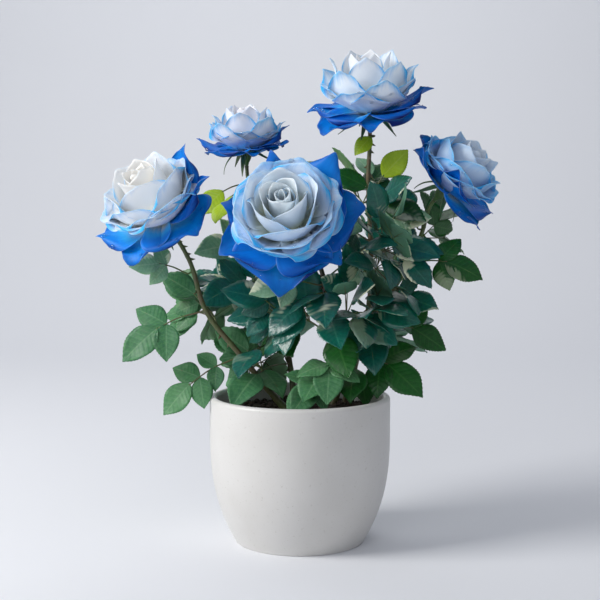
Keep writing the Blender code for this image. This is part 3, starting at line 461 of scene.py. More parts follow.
# %% Paths through knots
CANES = {
    "left": dict(foot=(-0.010, 0.000), lean=(-0.70, 0.00, 0.70),
                 knots=((-0.055, 0.000, 0.168), (-0.083, -0.002, 0.205), (-0.096, -0.008, 0.248))),
    "front": dict(foot=(0.019, -0.014), lean=(0.10, -0.02, 1.00),
                  knots=((0.027, -0.016, 0.172), (0.023, -0.022, 0.212), (0.016, -0.026, 0.248))),
    "right": dict(foot=(0.026, 0.006), lean=(0.50, 0.00, 0.85),
                  knots=((0.050, 0.006, 0.177), (0.088, 0.004, 0.232), (0.106, 0.002, 0.270))),
    "top": dict(foot=(0.040, 0.024), lean=(0.18, 0.00, 1.00),
                knots=((0.050, 0.024, 0.152), (0.063, 0.016, 0.222), (0.060, 0.004, 0.320))),
    "back": dict(foot=(-0.004, 0.030), lean=(-0.15, 0.20, 1.00),
                 knots=((-0.014, 0.048, 0.180), (-0.034, 0.068, 0.260))),
}
SEATS = {
    "left": ((-0.111, -0.015, 0.276), (-0.42, -0.48, 0.77)),
    "front": ((-0.009, -0.042, 0.272), (-0.10, -0.82, 0.56)),
    "top": ((0.061, 0.000, 0.363), (-0.05, -0.24, 0.97)),
    "right": ((0.1175, 0.000, 0.302), (0.60, -0.34, 0.72)),
    "back": ((-0.050, 0.080, 0.334), (-0.03, -0.16, 0.98)),
}


def smooth_path(knots, start, end, steps):
    """Points along a smooth curve through the knots, with set directions at both ends."""
    knots = [Vector(knot) for knot in knots]
    tangents = [Vector(start).normalized()]
    for before, after in zip(knots, knots[2:]):
        tangents.append((after - before).normalized())
    tangents.append(Vector(end).normalized())
    points = [knots[0]]
    for index in range(len(knots) - 1):
        reach = (knots[index + 1] - knots[index]).length / 3.0
        leave = knots[index] + tangents[index] * reach
        arrive = knots[index + 1] - tangents[index + 1] * reach
        points += interpolate_bezier(knots[index], leave, arrive, knots[index + 1], steps + 1)[1:]
    return points


def cane_points(key, steps):
    """The path of a cane from the soil to its bloom."""
    cane = CANES[key]
    seat, axis = SEATS[key]
    knots = ((*cane["foot"], SOIL_TOP + GAP),) + cane["knots"] + (seat,)
    return smooth_path(knots, cane["lean"], axis, steps)


def path_directions(points):
    """Unit direction of a path at each of its points."""
    ends = [points[0]] + list(points) + [points[-1]]
    return [(after - before).normalized() for before, after in zip(ends, ends[2:])]


def square_frame(direction, hint):
    """Two unit vectors square to a direction and to each other, the first nearest the hint."""
    first = hint - direction * hint.dot(direction)
    if first.length < 1e-4:
        first = direction.orthogonal()
    first.normalize()
    return first, direction.cross(first)


def add_tube(bm, points, sides, hint, radius_at):
    """A closed tube along a path, rolled from a grid; radius_at(share along, angle) gives its radius."""
    frames = [square_frame(direction, hint) for direction in path_directions(points)]
    last = len(points) - 1

    def place(across, along):
        row = round(along * last)
        angle = 2.0 * math.pi * across
        first, second = frames[row]
        outward = first * math.cos(angle) + second * math.sin(angle)
        return points[row] + outward * radius_at(along, angle)

    verts = placed_grid(bm, sides, last, place)
    bmesh.ops.remove_doubles(bm, verts=verts, dist=0.000001)
    verts = [vertex for vertex in verts if vertex.is_valid]
    rims = {edge for vertex in verts for edge in vertex.link_edges if edge.is_boundary}
    bmesh.ops.holes_fill(bm, edges=list(rims), sides=sides + 1)


print("canes:", list(CANES))

# %% [markdown]
# Bark is a green skin that turns brown in patches, with fine fibres along the cane. A noise that is
# stretched upwards gives the fibres. The sepals, twigs and stalks wear the same group in fresher greens.

# %% Shader group: bark
BARK_TONES = {                   # (green side, brown side)
    "left": ((0.060, 0.088, 0.022), (0.085, 0.062, 0.027)),
    "front": ((0.034, 0.036, 0.018), (0.034, 0.016, 0.012)),
    "right": ((0.080, 0.150, 0.036), (0.105, 0.100, 0.042)),
    "top": ((0.080, 0.092, 0.034), (0.130, 0.085, 0.042)),
    "back": ((0.060, 0.095, 0.030), (0.080, 0.060, 0.030)),
}
FIBRE_COLOUR = (0.26, 0.24, 0.13)

bark_group, bark_in, bark_out = new_group(
    "cane_bark", (("Vector", "Vector"), ("Green", "Color"), ("Brown", "Color")),
    (("Colour", "Color"), ("Height", "Float")))
stretch_node = add_node(bark_group, "Mapping", None, Vector=bark_in["Vector"])
stretch_node.inputs["Scale"].default_value = (1.0, 1.0, 0.18)
fibres = grainy(bark_group, stretch_node.outputs[0], 900.0, 4.0, 0.6)
patches = grainy(bark_group, bark_in["Vector"], 70.0)
bark_tone = mixed(bark_group, eased(bark_group, patches, 0.38, 0.62), bark_in["Green"], bark_in["Brown"])
fibre_mask = eased(bark_group, fibres, 0.40, 0.80, 0.0, 0.25)
bark_colour = mixed(bark_group, fibre_mask, bark_tone, FIBRE_COLOUR)
bark_group.links.new(bark_colour, bark_out["Colour"])
bark_group.links.new(fibres, bark_out["Height"])


def bark_material(key):
    """Bark of one cane."""
    green, brown = BARK_TONES[key]
    material, tree, shader = new_material("bark_" + key, Roughness=0.5)
    outputs = use_group(tree, bark_group, Vector=object_coordinates(tree), Green=(*green, 1.0),
                        Brown=(*brown, 1.0))
    coloured_and_bumped(tree, shader, outputs, 0.35, 0.0002)
    return material


print("group", bark_group.name)

# %% [markdown]
# Each cane is one piece with its prickles. A prickle starts as a cone: its foot is stretched to an oval and
# its tip is bent down the cane. Prickles go round the cane at random, about two to a node.

# %% Canes and prickles
CANE_FOOT_RADIUS = 0.0027
CANE_TIP_RADIUS = 0.0017
CANE_SIDES = 18
CANE_STEPS = 26
CANE_HINT = Vector((0.0, -1.0, 0.0))
NODE_SPACING = 0.020
RIB_DEPTH = 0.00007
RIBS = 5.0
NODE_SWELLING = 0.00028
FOOT_FLARE = 0.0012
PRICKLE_LENGTH = 0.0042
PRICKLE_FOOT_RADIUS = 0.0011
PRICKLE_TIP_RADIUS = 0.00008
PRICKLE_SUNK = 0.0004
PRICKLE_HOOK = 0.45              # of its length, down the cane
PRICKLE_OVAL = (1.5, 0.7)        # of its foot, along and across the cane
FOOT_RINGS = 3                   # rings at the cane's foot and tip that bear no prickle
TIP_RINGS = 6


def cane_taper(share):
    """Plain radius of a cane at a share of its length."""
    return CANE_FOOT_RADIUS + (CANE_TIP_RADIUS - CANE_FOOT_RADIUS) * share


def add_prickle(bm, spot, outward, along, length):
    """One hooked prickle: a cone with an oval foot whose tip bends down the cane."""
    cone = bmesh.ops.create_cone(bm, cap_ends=True, segments=8, radius1=PRICKLE_FOOT_RADIUS,
                                 radius2=PRICKLE_TIP_RADIUS, depth=1.0)
    side = outward.cross(along)
    for vertex in cone["verts"]:
        share = vertex.co.z + 0.5
        foot = spot + outward * (length * share - PRICKLE_SUNK)
        hook = along * (-PRICKLE_HOOK * length * share ** 2)
        bent = foot + hook + along * vertex.co.x * PRICKLE_OVAL[0]
        vertex.co = bent + side * vertex.co.y * PRICKLE_OVAL[1]


for key in CANES:
    points = cane_points(key, CANE_STEPS)
    nodes_along = max(2, round(sum((b - a).length for a, b in zip(points, points[1:])) / NODE_SPACING))
    cane_draw = random.Random("bark " + key)
    phase = cane_draw.uniform(0.0, 6.0)

    def cane_radius(share, angle):
        """Taper, ribs, swellings at the nodes, a flare at the foot."""
        ribs = RIB_DEPTH * math.sin(RIBS * angle + phase + 3.0 * share)
        swelling = NODE_SWELLING * math.exp(-((share * nodes_along + 0.5) % 1.0 - 0.5) ** 2 / 0.006)
        flare = FOOT_FLARE * math.exp(-share * 26.0)
        return cane_taper(share) + ribs + swelling + flare

    cane_bm = bmesh.new()
    add_tube(cane_bm, points, CANE_SIDES, CANE_HINT, cane_radius)
    directions = path_directions(points)
    for index in range(1, nodes_along * 2):
        spot_index = round(len(points) * (index + cane_draw.uniform(-0.25, 0.25)) / (nodes_along * 2))
        spot_index = min(max(spot_index, FOOT_RINGS), len(points) - TIP_RINGS)
        first, second = square_frame(directions[spot_index], CANE_HINT)
        angle = cane_draw.uniform(0.0, 2.0 * math.pi)
        outward = first * math.cos(angle) + second * math.sin(angle)
        foot = points[spot_index] + outward * cane_taper(spot_index / len(points))
        add_prickle(cane_bm, foot, outward, directions[spot_index],
                    PRICKLE_LENGTH * cane_draw.uniform(0.6, 1.0))
    bmesh.ops.recalc_face_normals(cane_bm, faces=cane_bm.faces)
    finished("bark_cane_" + key, cane_bm, [bark_material(key)], ["cane_" + key])

# %% [markdown]
# ## Petals
# A rose's petals stand on one another in a spiral, each 137.5 degrees on from the last: tight and upright
# at the heart, wider, lower and more rolled back towards the outside. Five broad petals lie round this cup,
# and a few large pointed ones, each led by its own direction and lean, droop under them. One rule gives all
# their surfaces, so each petal is a grid laid on its own surface, thickened by a Solidify modifier. The rims
# are frilled a little, and each petal keeps its age for the colours.

# %% The spiral rule
BLOOMS = {                       # guards: clock, length, lean, half width, curl, roll, age
    "left": dict(radius=0.060, turn=20, seed=3, cup=0.96, rise=0.05, slim=0.95,
                 guards=((-95, 1.02, 104, 0.62, 30, 10, 0.915), (-20, 1.10, 94, 0.62, 40, 35, 0.950),
                         (25, 1.10, 66, 0.46, 20, 50, 0.960), (75, 1.14, 52, 0.50, 25, 30, 0.900),
                         (160, 1.20, 78, 0.52, 30, 30, 0.900), (215, 1.12, 88, 0.52, 25, 30, 0.890))),
    "front": dict(radius=0.061, turn=75, seed=5, cup=1.06, rise=0.0, slim=1.0,
                  guards=((-93, 1.16, 108, 0.70, 15, 10, 0.965), (-38, 1.10, 90, 0.62, 60, 80, 0.975),
                          (12, 1.20, 84, 0.60, 20, 25, 0.960), (52, 1.28, 66, 0.62, 20, 20, 0.905),
                          (105, 1.10, 60, 0.55, 30, 30, 0.935), (165, 1.02, 78, 0.48, 40, 50, 0.950),
                          (208, 1.12, 88, 0.55, 25, 30, 0.960))),
    "top": dict(radius=0.057, turn=118, seed=7, cup=1.14, rise=0.22, slim=0.66,
                guards=((180, 1.06, 90, 0.60, 35, 20, 0.885), (-140, 1.00, 112, 0.58, 15, 15, 0.900),
                        (-80, 0.98, 102, 0.66, 50, 40, 0.980), (-25, 1.10, 84, 0.50, 30, 45, 0.985),
                        (5, 1.10, 70, 0.46, 15, 30, 0.960), (60, 1.00, 88, 0.60, 30, 20, 0.940),
                        (120, 1.00, 88, 0.60, 30, 20, 0.920))),
    "right": dict(radius=0.052, turn=155, seed=9, cup=0.98, rise=0.10, slim=0.95,
                  guards=((-100, 1.10, 98, 0.60, 15, 10, 0.920), (-50, 1.06, 88, 0.55, 20, 30, 0.905),
                          (150, 1.12, 74, 0.55, 10, 30, 0.950), (195, 1.02, 60, 0.60, 25, 25, 0.930),
                          (100, 1.02, 66, 0.52, 20, 40, 0.920), (30, 0.98, 74, 0.55, 30, 20, 0.900))),
    "back": dict(radius=0.046, turn=200, seed=11, cup=1.12, rise=0.12, slim=0.70,
                 guards=((185, 1.10, 84, 0.60, 25, 30, 0.930), (-130, 1.10, 96, 0.62, 25, 25, 0.945),
                         (-70, 1.00, 92, 0.62, 30, 20, 0.960), (-15, 1.06, 82, 0.55, 25, 30, 0.935),
                         (10, 1.06, 64, 0.50, 15, 40, 0.920), (60, 1.00, 88, 0.60, 25, 20, 0.930),
                         (125, 1.00, 88, 0.60, 25, 20, 0.930))),
}
KEY_PETALS = (0, 5, 10, 15, 22)
MOUTH_RADIUS = (0.05, 0.19, 0.40, 0.60, 0.82)
MOUTH_HEIGHT = (0.90, 0.97, 0.91, 0.72, 0.42)
BELLY_RADIUS = (0.06, 0.27, 0.50, 0.64, 0.74)
TIP_CURL = (0, 12, 32, 46, 48)
HALF_WIDTH = (0.30, 0.42, 0.54, 0.64, 0.70)
EDGE_ROLL = (0, 6, 24, 38, 38)
PETAL_AGE = (0.00, 0.18, 0.38, 0.60, 0.90)
POINTEDNESS = (0.0, 0.02, 0.13, 0.30, 0.60)
SPIRAL_PETALS = 19
LIPS = 5                         # broad petals between the cup and the guards
LIP_SHAPE = (0.94, 58, 0.70, 36, 16)
SPIRAL_TURN = 137.5
SPIRAL_PITCH = 0.011
WIDEST = 0.62
RIM_NARROWING = (0.22, 0.52)     # of a petal of the cup, and of a pointed outer one
CLAW_RADIUS = 0.07
CLAW_HEIGHT = 0.06
CLAW_WIDTH = 0.40
FLATTENING = 1.25
GUARD_FLATNESS = 3.0
LIP_FLATNESS = 1.6
LIP_AGE = 0.69
SPIRAL_BELLY_SHARE = 0.30        # of the mouth's height
SPIRAL_WAVE = 0.012
LIP_WAVE = 0.020
GUARD_WAVE = 0.045
ROLL_FACTOR = 1.6
FLAT_SHARE = 0.45                # of the half width, inside which a petal doesn't roll
SPINE_POINTS = 25
CROSS_POINTS = 49
GUARD_STRETCH = 0.85
GUARD_LIFT = 0.12
GUARD_BELLY = 0.45
GUARD_CUP = 0.32
RIM_DROP = (0.15, 0.30)
RIM_POWER = (2.4, 1.35)
TIP_POINT = 0.05
FRILL = 0.007
CURL_SHARE = 0.22
HIP_TOP = 0.014


def spiral_petal(index, spec, draw):
    """Shape of one of the petals inside the guards."""
    def key(values):
        """Value of this petal between the key petals."""
        return float(np.interp(index, KEY_PETALS, values))

    mouth_height = key(MOUTH_HEIGHT) * (1.0 + spec["rise"] * key(PETAL_AGE))
    return dict(clock=spec["turn"] + SPIRAL_TURN * index,
                mouth=(spec["cup"] * key(MOUTH_RADIUS), mouth_height),
                belly=(key(BELLY_RADIUS), SPIRAL_BELLY_SHARE * key(MOUTH_HEIGHT)),
                curl=key(TIP_CURL) * draw.uniform(0.8, 1.2), roll=key(EDGE_ROLL) * draw.uniform(0.7, 1.3),
                flat=1.0 + (FLATTENING - 1.0) * index / SPIRAL_PETALS,
                half_width=spec["slim"] * key(HALF_WIDTH),
                wave=SPIRAL_WAVE * index / SPIRAL_PETALS, phase=draw.uniform(0.0, 2.0 * math.pi),
                point=key(POINTEDNESS) * draw.uniform(0.6, 1.2), crease=0.0, age=key(PETAL_AGE))


def guard_petal(guard, draw):
    """Shape of one outer petal."""
    clock, length, lean, half_width, curl, roll, age = guard
    lean = math.radians(lean)
    mouth = (CLAW_RADIUS + GUARD_STRETCH * length * math.sin(lean),
             CLAW_HEIGHT + GUARD_STRETCH * length * math.cos(lean) + GUARD_LIFT)
    belly = (GUARD_BELLY * length, CLAW_HEIGHT + GUARD_CUP * length * math.cos(lean) ** 2)
    return dict(clock=clock, mouth=mouth, belly=belly, curl=curl, roll=roll, half_width=half_width,
                flat=GUARD_FLATNESS, wave=GUARD_WAVE, phase=draw.uniform(0.0, 2.0 * math.pi),
                point=draw.uniform(0.45, 1.0), crease=draw.uniform(-0.03, 0.07), age=age)


def petal_spine(petal):
    """Middle line of a petal in the plane through the bloom's axis: share, radius, height and slope."""
    claw = np.array((CLAW_RADIUS, CLAW_HEIGHT))
    belly = np.array(petal["belly"])
    mouth = np.array(petal["mouth"])
    share = np.linspace(0.0, 1.0, SPINE_POINTS)[:, None]
    body = (1 - share) ** 2 * claw + 2 * share * (1 - share) * belly + share ** 2 * mouth
    steps = np.diff(body, axis=0)
    lean = np.arctan2(steps[:, 0], steps[:, 1])
    run = np.hypot(steps[:, 0], steps[:, 1])
    place = np.cumsum(run) / run.sum()
    curl = np.radians(petal["curl"]) * np.clip((place - 1.0 + CURL_SHARE) / CURL_SHARE, 0.0, 1.0) ** 1.3
    lean = lean + curl
    radius = claw[0] + np.concatenate(([0.0], np.cumsum(run * np.sin(lean))))
    height = claw[1] + np.concatenate(([0.0], np.cumsum(run * np.cos(lean))))
    return np.concatenate(([0.0], place)), radius, height, np.concatenate((lean[:1], lean))


def petal_surface(petal, across, along):
    """Points of a petal's middle surface in bloom radii, one row for each value of along."""
    place, radius, height, lean = petal_spine(petal)
    fine = np.linspace(-1.0, 1.0, CROSS_POINTS)
    drop, power, narrowing = (np.interp(petal["point"], (0.0, 1.0), ends)
                              for ends in (RIM_DROP, RIM_POWER, RIM_NARROWING))
    rim = 1.0 - drop * np.abs(across) ** power
    rim = rim - TIP_POINT * (1.0 - np.exp(-(across / 0.22) ** 2))
    frill = FRILL * petal["age"] * (np.sin(across * 9.0 + petal["phase"] * 3.0)
                                    + 0.6 * np.sin(across * 23.0 + petal["phase"] * 7.0))
    rows = []
    for share in along:
        spot = share * (rim + frill * share ** 6)
        r, z, tilt = (np.interp(spot, place, values) for values in (radius, height, lean))
        middle = float(np.interp(share, place, radius))
        opened = math.sin(min(share / WIDEST, 1.0) * math.pi / 2.0)
        narrowed = max(0.0, (share - WIDEST) / (1.0 - WIDEST)) ** 2
        spread = (CLAW_WIDTH + (1.0 - CLAW_WIDTH) * opened) * (1.0 - narrowing * narrowed)
        width = petal["half_width"] * spread
        bend = max(petal["flat"] * middle, 0.05)
        width = min(width, 2.5 * bend)
        edge = np.clip((np.abs(fine) - FLAT_SHARE) / (1.0 - FLAT_SHARE), 0.0, 1.0) ** 1.4
        roll = math.radians(petal["roll"]) * ROLL_FACTOR * np.sign(fine) * edge * share ** 2
        turn = width * fine / bend - roll
        heading = (turn[1:] + turn[:-1]) / 2.0
        sideways = np.concatenate(([0.0], np.cumsum(np.cos(heading) * np.diff(fine)))) * width
        inwards = np.concatenate(([0.0], np.cumsum(np.sin(heading) * np.diff(fine)))) * width
        half = len(fine) // 2
        side = np.interp(across, fine, sideways - sideways[half])
        inward = np.interp(across, fine, inwards - inwards[half])
        inward = inward - SPIRAL_PITCH * width * across / bend
        inward = inward + petal["wave"] * np.sin(across * 5.0 + petal["phase"]) * share ** 3
        inward = inward + petal["crease"] * (1.0 - np.abs(across)) ** 2 * share ** 2
        out = r - np.cos(tilt) * inward
        rows.append(np.stack((out, side, z + np.sin(tilt) * inward), axis=-1))
    grid = np.stack(rows)
    angle = math.radians(petal["clock"])
    spin = np.array(((math.cos(angle), -math.sin(angle), 0.0),
                     (math.sin(angle), math.cos(angle), 0.0), (0.0, 0.0, 1.0)))
    return grid @ spin.T


def bloom_frame(axis):
    """Columns of a bloom's own frame: right and up on its face, and its axis."""
    axis = Vector(axis).normalized()
    up, _ = square_frame(axis, UP)
    return np.array((up.cross(axis), up, axis)).T


def bloom_placer(key):
    """Function from points in bloom radii to metres."""
    seat, axis = SEATS[key]
    columns = bloom_frame(axis)
    radius = BLOOMS[key]["radius"]
    centre = np.array(seat) + columns[:, 2] * (GAP + HIP_TOP - CLAW_HEIGHT * radius)
    return lambda points: centre + (points * radius) @ columns.T


def lip_petal(index, spec, draw):
    """Shape of one broad petal between the cup and the guards."""
    length, lean, half_width, curl, roll = LIP_SHAPE
    clock = spec["turn"] + 360.0 / LIPS * (index + draw.uniform(-0.12, 0.12))
    shape = guard_petal((clock, length * draw.uniform(0.92, 1.06), lean + draw.uniform(-6.0, 6.0),
                         half_width * spec["slim"], curl, roll, LIP_AGE), draw)
    shape.update(flat=LIP_FLATNESS, wave=LIP_WAVE, point=draw.uniform(0.2, 0.6))
    return shape


def petals_of(key):
    """All the petals of a bloom, from the heart outwards."""
    spec = BLOOMS[key]
    draw = random.Random(spec["seed"])
    petals = [spiral_petal(index, spec, draw) for index in range(SPIRAL_PETALS)]
    petals += [lip_petal(index, spec, draw) for index in range(LIPS)]
    return petals + [guard_petal(guard, draw) for guard in spec["guards"]]


print("petals:", {key: len(petals_of(key)) for key in BLOOMS})

# %% [markdown]
# The dye has run to the edges: the heart stays cream with a touch of yellow low in its folds, the petals
# round it have pale blue rims, and the outer ones go from pale at their foot through full blue to navy
# tips. A thin light line on each lip is a painted highlight that stands for the shine of the rim, not
# dye. The petal's own map tells how far along it a point is and how near its edge, and its age tells which
# of these colours it has. Streaks follow the veins.

# %% Petal dye and painted lip highlight
PETAL_LOOKS = {                  # heart, cup, folds, and how much bluer than the plain rule
    "left": ((1.00, 0.98, 0.93), (0.90, 0.95, 1.00), (0.97, 0.89, 0.50), 0.00),
    "front": ((0.82, 0.91, 0.96), (0.68, 0.82, 1.00), (0.88, 0.88, 0.48), 0.03),
    "top": ((0.95, 0.97, 1.00), (0.84, 0.93, 1.00), (0.78, 0.88, 0.70), 0.06),
    "right": ((0.68, 0.80, 0.94), (0.54, 0.74, 1.00), (0.58, 0.70, 0.78), 0.10),
    "back": ((0.97, 0.95, 1.00), (0.82, 0.88, 1.00), (0.76, 0.84, 0.88), 0.07),
}
PALE_BLUE = (0.280, 0.540, 0.920)
BRIGHT_BLUE = (0.030, 0.430, 0.930)
FULL_BLUE = (0.000, 0.175, 0.700)
DEEP_BLUE = (0.000, 0.095, 0.470)
NAVY = (0.000, 0.006, 0.110)
# colour of the painted highlight along the petals' lips, standing for the shine of their rims
LIP_PAINTED_HIGHLIGHT = (0.66, 0.82, 0.96)

dye_and_highlight, dye_in, dye_and_highlight_out = new_group(
    "petal_dye_and_painted_highlight",
    (("Map", "Vector"), ("Age", "Float"), ("Heart", "Color"), ("Cup", "Color"), ("Fold", "Color"),
     ("Bluer", "Float")),
    (("Colour", "Color"), ("Height", "Float")))
split = add_node(dye_and_highlight, "SeparateXYZ", None, Vector=dye_in["Map"])
edge = maths(dye_and_highlight, "ABSOLUTE", maths(dye_and_highlight, "SUBTRACT", maths(dye_and_highlight, "MULTIPLY", split.outputs[0], 2.0), 1.0))
along_petal = split.outputs[1]
streak_map = add_node(dye_and_highlight, "Mapping", None, Vector=dye_in["Map"])
streak_map.inputs["Scale"].default_value = (26.0, 1.6, 1.0)
streaks = grainy(dye_and_highlight, streak_map.outputs[0], 1.0, 3.0, 0.55)
blots = grainy(dye_and_highlight, dye_in["Map"], 4.0, 2.0)
edge_pull = maths(dye_and_highlight, "MULTIPLY", maths(dye_and_highlight, "POWER", edge, 2.5), 0.26)
uneven = maths(dye_and_highlight, "MULTIPLY", maths(dye_and_highlight, "SUBTRACT", maths(dye_and_highlight, "ADD", streaks, blots), 1.0), 0.20)
spread = maths(dye_and_highlight, "ADD", along_petal, edge_pull)
reach_out = maths(dye_and_highlight, "ADD", spread, maths(dye_and_highlight, "ADD", uneven, dye_in["Bluer"]))
cup_share = eased(dye_and_highlight, dye_in["Age"], 0.12, 0.62, 0.03, 0.26)
outer_share = eased(dye_and_highlight, dye_in["Age"], 0.70, 0.99, 0.0, 0.80)
start = maths(dye_and_highlight, "SUBTRACT", 1.06, maths(dye_and_highlight, "ADD", cup_share, outer_share))
blueness = maths(dye_and_highlight, "MAXIMUM", maths(dye_and_highlight, "DIVIDE", maths(dye_and_highlight, "SUBTRACT", reach_out, start), 0.72), 0.0)
fold_mask = maths(dye_and_highlight, "MULTIPLY", eased(dye_and_highlight, along_petal, 0.30, 0.66, 0.80, 0.0),
                  eased(dye_and_highlight, dye_in["Age"], 0.0, 0.9, 0.8, 0.4))
body = mixed(dye_and_highlight, eased(dye_and_highlight, dye_in["Age"], 0.15, 0.55), dye_in["Heart"], dye_in["Cup"])
warm = mixed(dye_and_highlight, fold_mask, body, dye_in["Fold"])
pale = mixed(dye_and_highlight, eased(dye_and_highlight, blueness, 0.02, 0.40), warm, PALE_BLUE)
bright = mixed(dye_and_highlight, eased(dye_and_highlight, blueness, 0.25, 0.55), pale, BRIGHT_BLUE)
blue = mixed(dye_and_highlight, eased(dye_and_highlight, blueness, 0.45, 0.85), bright, FULL_BLUE)
deep = mixed(dye_and_highlight, eased(dye_and_highlight, blueness, 0.90, 1.25), blue, DEEP_BLUE)
tip_mask = maths(dye_and_highlight, "MULTIPLY", eased(dye_and_highlight, reach_out, 0.98, 1.20), eased(dye_and_highlight, dye_in["Age"], 0.80, 1.0))
tipped = mixed(dye_and_highlight, tip_mask, deep, NAVY)
# Painted highlight: a thin light line along each lip, strongest on the inner petals, stands for the shine
# where the rim rolls over.
lip_edge = maths(dye_and_highlight, "MAXIMUM", eased(dye_and_highlight, along_petal, 0.985, 1.0), eased(dye_and_highlight, edge, 0.975, 1.0))
painted_lip_highlight_mask = maths(dye_and_highlight, "MULTIPLY", lip_edge, eased(dye_and_highlight, blots, 0.30, 0.62))
painted_lip_highlight_share = eased(dye_and_highlight, dye_in["Age"], 0.60, 0.95, 0.60, 0.16)
with_painted_lip_highlight = mixed(dye_and_highlight, maths(dye_and_highlight, "MULTIPLY", painted_lip_highlight_mask, painted_lip_highlight_share), tipped, LIP_PAINTED_HIGHLIGHT)
dye_and_highlight.links.new(with_painted_lip_highlight, dye_and_highlight_out["Colour"])
dye_and_highlight.links.new(streaks, dye_and_highlight_out["Height"])


def petal_material(key):
    """Petals of one bloom."""
    heart, cup, fold, bluer = PETAL_LOOKS[key]
    material, tree, shader = new_material("petals_" + key, Roughness=0.44)
    shader.inputs["Specular IOR Level"].default_value = 0.20
    shader.inputs["Subsurface Weight"].default_value = 0.40
    shader.inputs["Subsurface Radius"].default_value = (0.8, 0.9, 1.0)
    shader.inputs["Subsurface Scale"].default_value = 0.003
    petal_map = tree.nodes.new("ShaderNodeUVMap").outputs[0]
    age = add_node(tree, "Attribute", {"attribute_name": "petal_age"}).outputs["Fac"]
    outputs = use_group(tree, dye_and_highlight, Map=petal_map, Age=age, Heart=(*heart, 1.0), Cup=(*cup, 1.0),
                        Fold=(*fold, 1.0), Bluer=bluer)
    coloured_and_bumped(tree, shader, outputs, 0.12, 0.0003)
    return material


print("group", dye_and_highlight.name)

# %% [markdown]
# Each petal is a grid whose vertices are put on the petal's surface, so its columns run from claw to rim
# and its own map follows the veins. All the petals of a bloom are one piece, and Solidify makes the sheet
# as thick as a petal.

# %% Petals
PETAL_COLUMNS = 28
PETAL_ROWS = 24
PETAL_THICKNESS = 0.00032

for key in BLOOMS:
    place = bloom_placer(key)
    petal_bm = bmesh.new()
    petal_bm.loops.layers.uv.new("petal_map")
    ages = petal_bm.verts.layers.float.new("petal_age")
    columns = np.linspace(-1.0, 1.0, PETAL_COLUMNS + 1)
    rows = np.linspace(0.0, 1.0, PETAL_ROWS + 1)
    for petal in petals_of(key):
        spots = place(petal_surface(petal, columns, rows))

        def petal_point(across, along):
            """Where a grid's vertex lies on the petal."""
            return Vector(spots[round(along * PETAL_ROWS)][round(across * PETAL_COLUMNS)])

        for vertex in placed_grid(petal_bm, PETAL_COLUMNS, PETAL_ROWS, petal_point):
            vertex[ages] = petal["age"]
    bloom = finished("petals_" + key, petal_bm, [petal_material(key)], ["bloom_" + key])
    thicken(bloom, PETAL_THICKNESS)

# %% [markdown]
# ## Hips and sepals
# Under each bloom sits the green hip, and five narrow sepals hang from its top with hooked tips. The hip is
# turned; a sepal is a narrow grid with a fold along its middle.

# %% Hips and sepals
HIP_PROFILE = ((0.0, 0.0), (0.0016, 0.0), (0.0019, 0.001), (0.0024, 0.003), (0.0036, 0.005),
               (0.0046, 0.0072), (0.0051, 0.0095), (0.0049, 0.012), (0.0043, 0.0145), (0.0036, 0.020),
               (0.0, 0.023))
HIP_STEPS = 20
SEPALS = 5
SEPAL_LENGTH = 0.030
SEPAL_WIDTH = 0.0064
SEPAL_START = 80                 # degrees from the bloom's axis where a sepal leaves the hip
SEPAL_LEAN = 128
SEPAL_ROOT_RADIUS = 0.003
SEPAL_ROOT_SUNK = 0.002
SEPAL_FOLD = 0.25
SEPAL_COLUMNS = 6
SEPAL_ROWS = 16
SEPAL_THICKNESS = 0.0004

calyx_material, calyx_tree, calyx_shader = new_material("calyx_green", Roughness=0.5)
calyx_finish = use_group(calyx_tree, bark_group, Vector=object_coordinates(calyx_tree),
                         Green=(0.050, 0.135, 0.035, 1.0), Brown=(0.085, 0.130, 0.050, 1.0))
coloured_and_bumped(calyx_tree, calyx_shader, calyx_finish, 0.2, 0.0002)

for key in BLOOMS:
    seat, axis = SEATS[key]
    columns = bloom_frame(axis)
    spec = BLOOMS[key]
    draw = random.Random(f"sepals {key}")
    hip_bm = turned_body(HIP_PROFILE, HIP_STEPS)
    for vertex in hip_bm.verts:
        vertex.co = Vector(np.array(seat) + columns @ (np.array(vertex.co) + (0.0, 0.0, GAP)))
    finished("hip_" + key, hip_bm, [calyx_material])
    sepal_bm = bmesh.new()
    for index in range(SEPALS):
        clock = math.radians(360.0 / SEPALS * index + spec["turn"])
        lean = math.radians(SEPAL_LEAN + draw.uniform(-12.0, 12.0))
        hook = math.radians(draw.uniform(-35.0, 60.0))

        def sepal_point(across, along):
            """Where a vertex of a sepal lies: it leaves the hip square, droops and hooks at its tip."""
            flat = np.array((math.cos(clock), math.sin(clock), 0.0))
            side = np.array((-math.sin(clock), math.cos(clock), 0.0))
            reach = SEPAL_ROOT_RADIUS * flat + np.array((0.0, 0.0, HIP_TOP - SEPAL_ROOT_SUNK))
            begin = math.radians(SEPAL_START)
            for step in range(round(along * SEPAL_ROWS)):
                share = step / SEPAL_ROWS
                tilt = begin + (lean - begin) * min(share * 3.0, 1.0) + hook * share ** 2
                onward = flat * math.sin(tilt) + np.array((0.0, 0.0, math.cos(tilt)))
                reach = reach + onward * SEPAL_LENGTH / SEPAL_ROWS
            width = SEPAL_WIDTH * math.sin(math.pi * (0.16 + 0.80 * along)) ** 0.8 * (1.0 - 0.55 * along)
            edge = 2.0 * across - 1.0
            offset = side * edge * width / 2.0 + np.array((0.0, 0.0, SEPAL_FOLD * abs(edge) * width))
            return Vector(np.array(seat) + columns @ (reach + offset))

        placed_grid(sepal_bm, SEPAL_COLUMNS, SEPAL_ROWS, sepal_point)
    thicken(finished("sepals_" + key, sepal_bm, [calyx_material]), SEPAL_THICKNESS)

